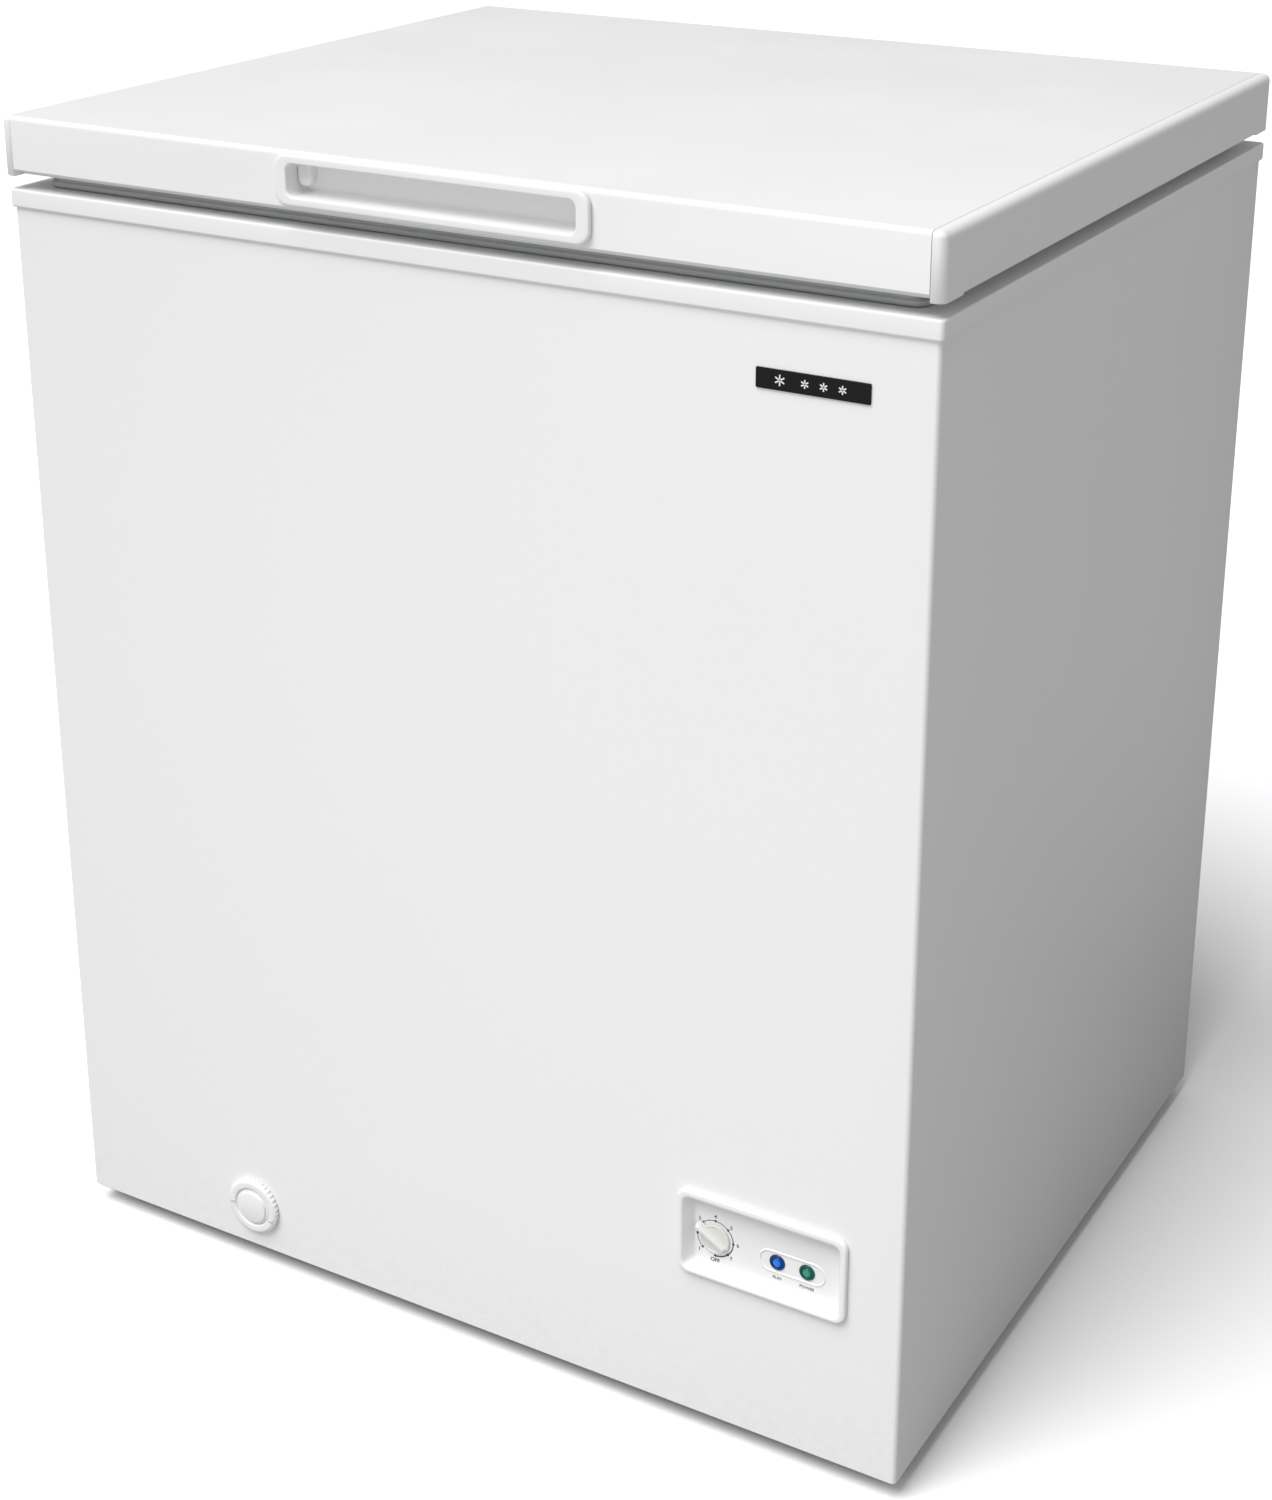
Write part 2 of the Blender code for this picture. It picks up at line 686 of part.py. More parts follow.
def make_drain(looks):
    pipe_front = FRONT + SHEET + GAP
    pipe_end = DRAIN_WELL_Y + 12 * MM
    centre, well = (DRAIN_X, DRAIN_Z), (DRAIN_X, DRAIN_WELL_Y)
    pipe_top = TUB_FLOOR - LINER - GAP
    grey = looks["grey_plastic"]
    pipe_profile = [(pipe_front, PIPE_RADIUS), (pipe_end, PIPE_RADIUS)]
    pipe = lathe("drain_pipe", pipe_profile, "Y", centre, grey)
    riser = lathe("guide_riser", [(DRAIN_Z, 11 * MM), (pipe_top, 11 * MM)], "Z", well, grey)
    bore_profile = [(pipe_front - MM, PIPE_BORE), (pipe_end - 2 * MM, PIPE_BORE)]
    bore = lathe("guide_pipe_bore", bore_profile, "Y", centre, grey)
    riser_profile = [(DRAIN_Z, 8.8 * MM), (pipe_top + MM, 8.8 * MM)]
    riser_bore = lathe("guide_riser_bore", riser_profile, "Z", well, grey)
    boolean(pipe, "UNION", [riser])
    boolean(pipe, "DIFFERENCE", [bore, riser_bore])

    rear = FRONT - GAP
    disc = CAP_RADIUS - 7.7 * MM
    tube_radius, tube_bore, tube_end = 9.5 * MM, 7.5 * MM, FRONT + 68 * MM
    spout = lathe(
        "drain_spout",
        [
            (tube_end, tube_radius),
            (rear, tube_radius),
            (rear, disc),
            (rear - CAP_THICK - 0.2 * MM, disc),
            (rear - CAP_THICK - 0.8 * MM, disc - 0.8 * MM),
        ],
        "Y",
        centre,
        looks["white_plastic"],
    )
    spout_bore = lathe(
        "guide_spout_bore",
        [(tube_end + MM, tube_bore), (rear + 2 * MM, tube_bore)],
        "Y",
        centre,
        looks["white_plastic"],
    )
    port = block(
        "guide_spout_port",
        (DRAIN_X - 4 * MM, FRONT + 4 * MM, DRAIN_Z - 12 * MM),
        (DRAIN_X + 4 * MM, FRONT + 14 * MM, DRAIN_Z - 5 * MM),
        looks["white_plastic"],
    )
    boolean(spout, "DIFFERENCE", [spout_bore, port])

    def toothed(depth):
        points = []
        for i in range(4 * CAP_TEETH):
            angle = 2 * math.pi * i / (4 * CAP_TEETH)
            radius = CAP_RADIUS - (depth if i % 4 > 1 else 0)
            points.append((DRAIN_X + radius * math.cos(angle), DRAIN_Z + radius * math.sin(angle)))
        return points

    count = 4 * CAP_TEETH
    face = rear - CAP_THICK
    hole = disc + GAP
    levels = [
        (toothed(0.7 * MM), rear),
        (toothed(0.7 * MM), face + 1.2 * MM),
        (circle(centre, CAP_RADIUS - 0.8 * MM, count), face + 1.0 * MM),
        (circle(centre, CAP_RADIUS - 1.6 * MM, count), face),
        (circle(centre, hole, count), face),
        (circle(centre, hole, count), rear),
    ]
    rings = [[placed("Y", p, height) for p in outline] for outline, height in levels]
    loft("drain_cap", rings, looks["white_plastic"], closed=True)

    floor = TUB_FLOOR + GAP
    profile = [
        (TUB_FLOOR - 8 * MM, 7.6 * MM),
        (floor, 8.4 * MM),
        (floor, 15 * MM),
        (floor + 2.4 * MM, 15 * MM),
        (floor + 3.4 * MM, 13 * MM),
        (floor + 3.4 * MM, 4 * MM),
        (floor + 9 * MM, 4 * MM),
        (floor + 10 * MM, 7 * MM),
        (floor + 13 * MM, 7 * MM),
    ]
    lathe("drain_stopper", profile, "Z", well, looks["grey_rubber"])


def make_compressor(looks):
    place = (COMPRESSOR_X, COMPRESSOR_Y)
    plate_z = BASE + 16 * MM
    plate = rounded_rect(place, 150 * MM, 120 * MM, 12 * MM, 3)
    prism("compressor_plate", plate, "Z", plate_z, plate_z + 3 * MM, looks["black_steel"])
    corners = [(sx * 62 * MM, sy * 47 * MM) for sx in (-1, 1) for sy in (-1, 1)]
    for number, (dx, dy) in enumerate(corners, start=1):
        spot = (COMPRESSOR_X + dx, COMPRESSOR_Y + dy)
        profile = [
            (BASE + MM + GAP, 9 * MM),
            (BASE + 6 * MM, 9 * MM),
            (BASE + 8 * MM, 7 * MM),
            (BASE + 10 * MM, 9 * MM),
            (plate_z - GAP, 9 * MM),
        ]
        lathe(f"compressor_grommet_{number}", profile, "Z", spot, looks["black_rubber"], count=16)

    foot = plate_z + 3 * MM + GAP
    radius = COMPRESSOR_RADIUS
    bowl, crown_rise, crown_base = 26 * MM, 44 * MM, foot + 112 * MM
    lower_shell = []
    for angle in (0, 35, 65, 90):
        turn = math.radians(angle)
        lower_shell.append((foot + bowl * (1 - math.cos(turn)), radius - bowl * (1 - math.sin(turn))))
    crown = []
    for angle in (0, 30, 55, 75, 90):
        turn = math.radians(angle)
        narrowing = 22 * MM * (1 - math.cos(turn)) + 24 * MM * math.sin(turn) ** 2
        crown.append((crown_base + crown_rise * math.sin(turn), radius - narrowing))
    seam = [
        (foot + 70 * MM, radius),
        (foot + 71 * MM, radius + 3 * MM),
        (foot + 75 * MM, radius + 3 * MM),
        (foot + 76 * MM, radius),
    ]
    lathe("compressor", lower_shell + seam + crown, "Z", place, looks["black_steel"], count=28)

    relay_back = COMPRESSOR_Y - radius - 4 * MM
    block(
        "relay_cover",
        (COMPRESSOR_X - 24 * MM, relay_back - 26 * MM, foot + 24 * MM),
        (COMPRESSOR_X + 24 * MM, relay_back, foot + 66 * MM),
        looks["grey_plastic"],
    )
    profile = [
        (70 * MM, 3 * MM),
        (82 * MM, 3 * MM),
        (92 * MM, 10 * MM),
        (152 * MM, 10 * MM),
        (162 * MM, 3 * MM),
        (172 * MM, 3 * MM),
    ]
    lathe("filter_drier", profile, "Z", (DRIER_X, DRIER_Y), looks["copper_tube"], count=16)

    crown_z = foot + 158.5 * MM
    suction = [
        (COMPRESSOR_X + 15 * MM, COMPRESSOR_Y - 10 * MM, crown_z),
        (COMPRESSOR_X + 15 * MM, COMPRESSOR_Y - 14 * MM, crown_z + 22 * MM),
        (COMPRESSOR_X + 15 * MM, COMPRESSOR_Y - 50 * MM, ROOM_TOP - 12 * MM),
        (COMPRESSOR_X + 5 * MM, COMPRESSOR_Y - 140 * MM, ROOM_TOP - 12 * MM),
        (COMPRESSOR_X - 40 * MM, -60 * MM, ROOM_TOP - 12 * MM),
    ]
    tube("suction_tube", smooth_route(suction), 3.2 * MM, looks["copper_tube"])
    discharge = [
        (COMPRESSOR_X - 15 * MM, COMPRESSOR_Y - 10 * MM, crown_z),
        (COMPRESSOR_X - 20 * MM, COMPRESSOR_Y - 30 * MM, crown_z + 18 * MM),
        (COMPRESSOR_X - 40 * MM, 60 * MM, crown_z + 8 * MM),
        (DRIER_X, 10 * MM, 205 * MM),
        (DRIER_X, DRIER_Y, 192 * MM),
        (DRIER_X, DRIER_Y, 172 * MM + GAP),
    ]
    tube("discharge_tube", smooth_route(discharge), 2.4 * MM, looks["copper_tube"])


def make_grille(looks):
    grille_y = BACK - SHEET
    left, right = ROOM_LEFT + 15 * MM, HALF - 20 * MM
    grille = block(
        "rear_grille",
        (left, grille_y, GRILLE_LOW),
        (right, grille_y + 2 * MM, GRILLE_HIGH),
        looks["grey_plastic"],
    )
    slots = []
    for row in range(SLOT_COUNT):
        low = GRILLE_LOW + 20 * MM + SLOT_PITCH * row
        slots.append(
            block(
                f"guide_grille_slot_{row}",
                (left + GRILLE_MARGIN, grille_y - MM, low),
                (right - GRILLE_MARGIN, grille_y + 4 * MM, low + SLOT_HEIGHT),
                looks["grey_plastic"],
            )
        )
    boolean(grille, "DIFFERENCE", slots)
    gland_front, gland_back = grille_y - 6 * MM, grille_y + 5 * MM
    gland_profile = [
        (gland_front, 3.2 * MM),
        (gland_front, 7.6 * MM),
        (grille_y, 7.6 * MM),
        (grille_y, 11 * MM),
        (grille_y + 2 * MM, 11 * MM),
        (gland_back, 7 * MM),
        (gland_back, 3.2 * MM),
    ]
    gland_place = (COMPRESSOR_X, GLAND_Z)
    lathe("cord_gland", gland_profile, "Y", gland_place, looks["black_rubber"], closed=True)


def make_lid(looks):
    cap_inner = LID_HALF - CAP_WIDTH
    skin_half = cap_inner - GAP

    def channel(inset):
        """Cross-section of the folded skin, from its front bottom edge over the top to the back."""
        front, back, top = LID_FRONT + inset, LID_BACK - inset, LID_TOP - inset
        radius = LID_EDGE - inset
        over_front = arc((front + radius, top - radius), radius, 180, 90, 4)
        over_back = arc((back - radius, top - radius), radius, 90, 0, 4)
        return [(front, SKIN_BOTTOM), *over_front, *over_back, (back, SKIN_BOTTOM)]

    outline = channel(0) + channel(SHEET)[::-1]
    skin = prism("lid_skin", outline, "X", -skin_half, skin_half, looks["white_enamel"])
    grip_place = (GRIP_X, GRIP_Z)
    grip_room = (
        POCKET_WIDTH + 2 * (POCKET_WALL + GAP),
        POCKET_HEIGHT + 2 * (POCKET_WALL + GAP),
    )
    window = front_block(
        "guide_grip_window",
        grip_place,
        grip_room,
        LID_FRONT - EMBED,
        LID_FRONT + 4 * SHEET,
        looks["white_enamel"],
    )
    boolean(skin, "DIFFERENCE", [window])

    plug_half = MOUTH_HALF - PLUG_MARGIN
    plug_front, plug_back = MOUTH_FRONT + PLUG_MARGIN, MOUTH_BACK - PLUG_MARGIN
    flange_top = SKIN_BOTTOM - 0.5 * MM
    flange_low = flange_top - LINER_FLANGE
    flange_front, flange_back = LID_FRONT + 3 * MM, LID_BACK - 3 * MM
    wall = 2 * MM

    def plug(inset, height, radius):
        return mouth_ring(plug_half - inset, plug_front + inset, plug_back - inset, height, radius)

    rings = [
        plug(8 * MM + wall, PLUG_BOTTOM + wall, 14 * MM),
        plug(wall, PLUG_BOTTOM + 8 * MM, 20 * MM),
        plug(wall, flange_top, 20 * MM),
        mouth_ring(skin_half - MM, flange_front, flange_back, flange_top, 3 * MM),
        mouth_ring(skin_half - MM, flange_front, flange_back, flange_low, 3 * MM),
        plug(0, flange_low, 22 * MM),
        plug(0, PLUG_BOTTOM + 8 * MM, 22 * MM),
        plug(8 * MM, PLUG_BOTTOM, 14 * MM),
    ]
    loft("lid_liner", rings, looks["white_liner"])

    foam = block(
        "lid_foam",
        (-skin_half + MM, LID_FRONT + SHEET + GAP, flange_top + GAP),
        (skin_half - MM, LID_BACK - SHEET - GAP, LID_TOP - SHEET - GAP),
        looks["foam"],
    )
    plug_rings = [
        plug(wall + 9 * MM, PLUG_BOTTOM + wall + MM, 14 * MM),
        plug(wall + MM, PLUG_BOTTOM + 9 * MM, 20 * MM),
        plug(wall + MM, flange_top + MM, 20 * MM),
    ]
    foam_plug = loft("guide_foam_plug", plug_rings, looks["foam"])
    corner_cuts = []
    for end, y, inward in (("front", LID_FRONT, 1), ("back", LID_BACK, -1)):
        wedge = [(y, LID_TOP + MM), (y + inward * 6 * MM, LID_TOP + MM), (y, LID_TOP - 6 * MM)]
        name = f"guide_foam_edge_{end}"
        corner_cuts.append(prism(name, wedge, "X", -LID_HALF, LID_HALF, looks["foam"]))
    pocket_room = front_block(
        "guide_pocket_room",
        grip_place,
        grip_room,
        LID_FRONT,
        LID_FRONT + POCKET_DEPTH + POCKET_WALL + GAP,
        looks["foam"],
    )
    boolean(foam, "UNION", [foam_plug])
    boolean(foam, "DIFFERENCE", [*corner_cuts, pocket_room])

    seat, top = FRAME_TOP + GAP, flange_low - GAP
    seal_half = skin_half - GASKET_INSET + CAP_WIDTH
    seal_front, seal_back = LID_FRONT + GASKET_INSET, LID_BACK - GASKET_INSET

    def gasket(inset, height, radius):
        return mouth_ring(seal_half - inset, seal_front + inset, seal_back - inset, height, radius)

    width = GASKET_WIDTH
    rings = [
        gasket(1.5 * MM, seat, 10 * MM),
        gasket(0, seat + 2 * MM, 11 * MM),
        gasket(2 * MM, seat + 5 * MM, 10 * MM),
        gasket(3 * MM, top, 9 * MM),
        gasket(width - 3 * MM, top, 5 * MM),
        gasket(width - 2 * MM, seat + 5 * MM, 5 * MM),
        gasket(width, seat + 2 * MM, 4 * MM),
        gasket(width - 1.5 * MM, seat, 5 * MM),
    ]
    loft("lid_gasket", rings, looks["grey_rubber"], closed=True)

    radius = LID_EDGE
    notch_front, notch_back = LID_FRONT + CAP_FOOT_LENGTH, LID_BACK - CAP_FOOT_LENGTH

    def cap_outline(inset):
        front, back, high = LID_FRONT + inset, LID_BACK - inset, LID_TOP - inset
        return [
            (front, LID_FOOT),
            *arc((front + radius, high - radius), radius, 180, 90, 4),
            *arc((back - radius, high - radius), radius, 90, 0, 4),
            (back, LID_FOOT),
            (notch_back, LID_FOOT),
            (notch_back - CAP_NOTCH, LID_FOOT + CAP_NOTCH),
            (notch_front + CAP_NOTCH, LID_FOOT + CAP_NOTCH),
            (notch_front, LID_FOOT),
        ]

    for side, sign in (("left", -1), ("right", 1)):
        levels = [(cap_inner, 0)]
        for angle in (0, 30, 60, 90):
            turn = math.radians(angle)
            reach = LID_HALF - CAP_EDGE * (1 - math.sin(turn))
            levels.append((reach, CAP_EDGE * (1 - math.cos(turn))))
        rings = [[placed("X", p, sign * x) for p in cap_outline(inset)] for x, inset in levels]
        loft(f"lid_end_cap_{side}", rings, looks["white_plastic"])

    make_grip(looks)


def make_grip(looks):
    """The moulded pull: a raised rounded rim round a pocket for the fingers."""
    centre = (GRIP_X, GRIP_Z)
    face = LID_FRONT - GRIP_PROUD

    def outline(inset):
        width, height = GRIP_WIDTH - 2 * inset, GRIP_HEIGHT - 2 * inset
        return rounded_rect(centre, width, height, 9 * MM - inset, 4)

    levels = [
        (LID_FRONT - GAP, 0),
        (face + 2.4 * MM, 0),
        (face + 0.8 * MM, 0.7 * MM),
        (face, 2.4 * MM),
    ]
    grip = slab("handle_grip", outline, "Y", levels, looks["white_plastic"])
    pocket_back = LID_FRONT + POCKET_DEPTH
    tray = front_block(
        "guide_grip_tray",
        centre,
        (POCKET_WIDTH + 2 * POCKET_WALL, POCKET_HEIGHT + 2 * POCKET_WALL),
        face + 2 * MM,
        pocket_back + POCKET_WALL,
        looks["white_plastic"],
    )

    def pocket_outline(inset):
        width, height = POCKET_WIDTH - 2 * inset, POCKET_HEIGHT - 2 * inset
        return rounded_rect(centre, width, height, 4.5 * MM, 3)

    pocket_levels = [(face - EMBED, -1.2 * MM), (face + MM, 0), (pocket_back, 1.5 * MM)]
    pocket = slab("guide_grip_pocket", pocket_outline, "Y", pocket_levels, looks["white_plastic"])
    boss_place = (
        GRIP_X - (POCKET_WIDTH - BOSS_WIDTH) / 2,
        GRIP_Z + (POCKET_HEIGHT - BOSS_LENGTH) / 2,
    )
    boss_outline = rounded_rect(boss_place, BOSS_WIDTH + 2 * MM, BOSS_LENGTH + 2 * MM, 4 * MM)
    boss = prism(
        "guide_grip_boss",
        boss_outline,
        "Y",
        pocket_back - BOSS_DEPTH,
        pocket_back + EMBED,
        looks["white_plastic"],
    )
    boolean(grip, "UNION", [tray])
    boolean(grip, "DIFFERENCE", [pocket])
    boolean(grip, "UNION", [boss])


def make_hinge(side, sign, looks):
    x = sign * HINGE_X
    axis = (HINGE_Y, HINGE_Z)
    plate_y = BACK - SHEET
    plate_low, plate_high = 700 * MM, 784 * MM
    ear_inner = ARM_HALF + 0.6 * MM
    ear_outer = ear_inner + EAR

    bracket = block(
        f"hinge_bracket_{side}",
        (x - ear_outer, plate_y, plate_low),
        (x + ear_outer, plate_y + EAR, plate_high),
        looks["plated_steel"],
    )
    ear_outline = [
        (plate_y, plate_low),
        (HINGE_Y - 4 * MM, plate_low),
        (HINGE_Y + 6 * MM, HINGE_Z - 14 * MM),
        *arc(axis, 6.5 * MM, 0, 180, 6),
        (HINGE_Y - 6.5 * MM, HINGE_Z - 10 * MM),
        (plate_y + 5 * MM, plate_high - MM),
        (plate_y, plate_high - MM),
    ]
    ears = [
        prism(
            f"guide_ear_{side}_{place}",
            ear_outline,
            "X",
            x + s * ear_inner,
            x + s * (ear_outer - EMBED / 5),
            looks["plated_steel"],
        )
        for place, s in (("a", -1), ("b", 1))
    ]
    pin_hole = lathe(
        f"guide_pin_hole_{side}",
        [(x - 30 * MM, PIN_RADIUS + PIN_CLEARANCE), (x + 30 * MM, PIN_RADIUS + PIN_CLEARANCE)],
        "X",
        axis,
        looks["plated_steel"],
        count=16,
    )
    boolean(bracket, "UNION", ears)
    boolean(bracket, "DIFFERENCE", [pin_hole])
    head = ear_outer + GAP
    lathe(
        f"hinge_pin_{side}",
        [
            (x - head - 2 * MM, 4.5 * MM),
            (x - head, 4.5 * MM),
            (x - head, PIN_RADIUS),
            (x + head + MM, PIN_RADIUS),
        ],
        "X",
        axis,
        looks["plated_steel"],
        count=16,
    )

    arm_front = LID_BACK + GAP
    arm = block(
        f"hinge_arm_{side}",
        (x - ARM_HALF, arm_front, HINGE_Z + 6 * MM),
        (x + ARM_HALF, arm_front + EAR, LID_TOP - 5 * MM),
        looks["plated_steel"],
    )
    knuckle = lathe(
        f"guide_knuckle_{side}",
        [(x - ARM_HALF + MM, 6.6 * MM), (x + ARM_HALF - MM, 6.6 * MM)],
        "X",
        axis,
        looks["plated_steel"],
        count=16,
    )
    web = block(
        f"guide_web_{side}",
        (x - ARM_HALF + 2 * MM, arm_front + EMBED, HINGE_Z + MM),
        (x + ARM_HALF - 2 * MM, arm_front + 5 * MM, HINGE_Z + 9 * MM),
        looks["plated_steel"],
    )
    arm_hole = lathe(
        f"guide_arm_hole_{side}",
        [(x - 30 * MM, PIN_RADIUS + PIN_CLEARANCE), (x + 30 * MM, PIN_RADIUS + PIN_CLEARANCE)],
        "X",
        axis,
        looks["plated_steel"],
        count=16,
    )
    boolean(arm, "UNION", [knuckle, web])
    boolean(arm, "DIFFERENCE", [arm_hole])

    cover_half = ear_outer + 5 * MM
    cover_rear = 307 * MM
    cover = block(
        f"hinge_cover_{side}",
        (x - cover_half, plate_y + EAR + GAP, plate_low - 8 * MM),
        (x + cover_half, cover_rear, HINGE_Z - 7.5 * MM),
        looks["white_plastic"],
    )
    frame_clear = block(
        f"guide_cover_notch_{side}",
        (x - 2 * cover_half, plate_y, TOP - 2 * MM),
        (x + 2 * cover_half, BACK + FRAME_REAR + MM, LID_TOP),
        looks["white_plastic"],
    )
    hollow = block(
        f"guide_cover_hollow_{side}",
        (x - ear_outer - 2.6 * MM, plate_y, plate_low - 5 * MM),
        (x + ear_outer + 2.6 * MM, cover_rear - 2 * MM, LID_TOP),
        looks["white_plastic"],
    )
    boolean(cover, "DIFFERENCE", [frame_clear, hollow])


def rod(bm, start, end, thickness):
    """A square wire between two points that share two coordinates."""
    low = Vector([min(a, b) - thickness / 2 for a, b in zip(start, end)])
    high = Vector([max(a, b) + thickness / 2 for a, b in zip(start, end)])
    size = Matrix.Diagonal((*(high - low), 1.0))
    bmesh.ops.create_cube(bm, size=1.0, matrix=Matrix.Translation((low + high) / 2) @ size)


def spread(first, last, count):
    return [first + (last - first) * i / (count - 1) for i in range(count)]


def make_basket(looks):
    """Welded wires: hoops outside, upright wires inside them, and a hook at each end."""
    bm = bmesh.new()
    left, right, front, back = BASKET_LEFT, BASKET_RIGHT, BASKET_FRONT, BASKET_BACK
    for height in spread(BASKET_BOTTOM, BASKET_TOP, 4):
        thick = WIRE * (1.4 if height == BASKET_TOP else 1.0)
        for y in (front, back):
            rod(bm, (left, y, height), (right, y, height), thick)
        for x in (left, right):
            rod(bm, (x, front, height), (x, back, height), thick)
    inner = 0.72 * WIRE
    low = BASKET_BOTTOM + inner
    thin = 0.9 * WIRE
    for x in spread(left + 25 * MM, right - 25 * MM, 4):
        for y in (front + inner, back - inner):
            rod(bm, (x, y, low), (x, y, BASKET_TOP), thin)
        rod(bm, (x, front + inner, low), (x, back - inner, low), thin)
    for y in spread(front + 43 * MM, back - 43 * MM, 6):
        for x in (left + inner, right - inner):
            rod(bm, (x, y, low + 0.2 * MM), (x, y, BASKET_TOP), thin)
        rod(bm, (left + inner, y, low + 0.2 * MM), (right - inner, y, low + 0.2 * MM), thin)
    middle = (left + right) / 2
    hook_z = FRAME_TOP + GAP + WIRE / 2
    hook_foot = BASKET_TOP - 4 * WIRE
    posts = (middle - 50 * MM, middle + 50 * MM)
    for y, outward in ((front - WIRE, -1), (back + WIRE, 1)):
        end = y + outward * 24 * MM
        for x in posts:
            rod(bm, (x, y, hook_foot), (x, y, hook_z), WIRE)
            rod(bm, (x, y, hook_z), (x, end, hook_z), WIRE)
            rod(bm, (x, y, hook_foot), (x, y - outward * WIRE, hook_foot), 0.8 * WIRE)
    obj = finish(bm, "basket_wires", looks["white_wire"])
    guide = block(
        "guide_basket_corner",
        (left - WIRE, front - WIRE, BASKET_TOP - WIRE / 3),
        (left + 2 * WIRE, front + 2 * WIRE, BASKET_TOP + WIRE / 3),
        looks["white_wire"],
    )
    boolean(obj, "UNION", [guide])
    obj.modifiers[0].use_self = True

    half = posts[1] - middle - WIRE / 2 - GAP
    for end, y in (("front", front - WIRE - 20 * MM), ("back", back + WIRE + 20 * MM)):
        make_basket_grip(f"basket_grip_{end}", (y, hook_z + 1.2 * MM), middle, half, looks)


def make_basket_grip(name, centre, middle, half, looks):
    def outline(inset):
        return rounded_rect(centre, 9 * MM - 2 * inset, 5.2 * MM - 2 * inset, 2 * MM, 2)

    levels = [
        (middle - half, 0.5 * MM),
        (middle - half + MM, 0),
        (middle + half - MM, 0),
        (middle + half, 0.5 * MM),
    ]
    slab(name, outline, "X", levels, looks["white_plastic"])


def make_pivots():
    """Empties on the joint axes, each carrying its moving pieces."""
    lid = ["lid_skin", "lid_liner", "lid_foam", "lid_gasket", "handle_grip"]
    lid += [f"{piece}_{side}" for piece in ("lid_end_cap", "hinge_arm") for side in ("left", "right")]
    carry("lid_axis", (0, HINGE_Y, HINGE_Z), lid)
    carry("knob_axis", (DIAL_X, PANEL_FLOOR, DIAL_Z), ["thermostat_knob"])
    carry("drain_axis", (DRAIN_X, FRONT - GAP, DRAIN_Z), ["drain_spout", "drain_cap"])
    carry("stopper_axis", (DRAIN_X, DRAIN_WELL_Y, TUB_FLOOR), ["drain_stopper"])
    basket_middle = ((BASKET_LEFT + BASKET_RIGHT) / 2, 0, FRAME_TOP)
    carry("basket_axis", basket_middle, ["basket_wires", "basket_grip_front", "basket_grip_back"])


def main():
    clear_scene()
    looks = {
        "white_enamel": material("white_enamel", (0.84, 0.84, 0.84), 0.35),
        "grey_steel": material("grey_steel", (0.62, 0.63, 0.64), 0.45, 0.6),
        "white_plastic": material("white_plastic", (0.86, 0.86, 0.86), 0.4),
        "white_liner": material("white_liner", (0.82, 0.84, 0.85), 0.4),
        "grey_plastic": material("grey_plastic", (0.2, 0.2, 0.21), 0.55),
        "knob_plastic": material("knob_plastic", (0.78, 0.77, 0.74), 0.45),
        "foam": material("foam", (0.85, 0.72, 0.42), 0.9),
        "aluminium_tube": material("aluminium_tube", (0.75, 0.76, 0.77), 0.35, 1.0),
        "copper_tube": material("copper_tube", (0.72, 0.4, 0.26), 0.35, 1.0),
        "black_steel": material("black_steel", (0.02, 0.02, 0.022), 0.4, 0.2),
        "plated_steel": material("plated_steel", (0.6, 0.6, 0.62), 0.35, 1.0),
        "black_rubber": material("black_rubber", (0.03, 0.03, 0.03), 0.8),
        "grey_rubber": material("grey_rubber", (0.42, 0.42, 0.43), 0.7),
        "dark_plate": material("dark_plate", (0.012, 0.012, 0.014), 0.3),
        "blue_lens": material("blue_lens", (0.02, 0.14, 0.62), 0.15),
        "green_lens": material("green_lens", (0.02, 0.28, 0.22), 0.15),
        "green_board": material("green_board", (0.04, 0.25, 0.1), 0.5),
        "white_wire": material("white_wire", (0.85, 0.85, 0.85), 0.4),
    }
    make_cabinet(looks)
    make_insulation(looks)
    make_mouth_frame(looks)
    make_controls(looks)
    make_badge(looks)
    make_drain(looks)
    make_compressor(looks)
    make_grille(looks)
    make_lid(looks)
    for side, sign in (("left", -1), ("right", 1)):
        make_hinge(side, sign, looks)
    make_basket(looks)
    make_pivots()


main()
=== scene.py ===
"""Looks of a small white chest freezer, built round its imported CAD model.

Metres. The front faces -Y, +X is to the right seen from the front, and +Z is up.
"""

import json
import math

import bmesh
import bpy
from mathutils import Matrix, Vector


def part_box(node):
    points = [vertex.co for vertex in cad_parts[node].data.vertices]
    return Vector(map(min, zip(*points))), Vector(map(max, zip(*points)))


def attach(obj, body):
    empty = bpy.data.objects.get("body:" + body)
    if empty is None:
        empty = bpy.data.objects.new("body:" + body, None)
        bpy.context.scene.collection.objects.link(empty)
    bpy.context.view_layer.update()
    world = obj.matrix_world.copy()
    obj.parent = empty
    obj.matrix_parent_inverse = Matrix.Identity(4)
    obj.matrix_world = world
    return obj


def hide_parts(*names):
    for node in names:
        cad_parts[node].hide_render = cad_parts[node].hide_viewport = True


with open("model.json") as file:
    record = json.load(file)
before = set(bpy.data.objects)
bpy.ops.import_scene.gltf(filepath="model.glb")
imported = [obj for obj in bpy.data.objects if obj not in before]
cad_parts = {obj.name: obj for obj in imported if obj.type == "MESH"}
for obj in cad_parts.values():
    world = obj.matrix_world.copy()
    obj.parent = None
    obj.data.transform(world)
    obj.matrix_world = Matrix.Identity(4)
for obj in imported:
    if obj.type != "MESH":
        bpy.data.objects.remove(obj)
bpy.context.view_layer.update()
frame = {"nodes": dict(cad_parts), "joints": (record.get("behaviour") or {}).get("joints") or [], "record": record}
record = frame["record"]
BODY_OF = {node: body for body, nodes in record["behaviour"]["bodies"].items() for node in nodes}
SLOT_OF = {part["node"]: part["material_slot"] for part in record["subparts"]}

MM = 0.001
SHEET = 0.7 * MM
SIDES = ("left", "right")
CORNER = 3.2 * MM  # the wrapper's upright corners, and the frame's over them

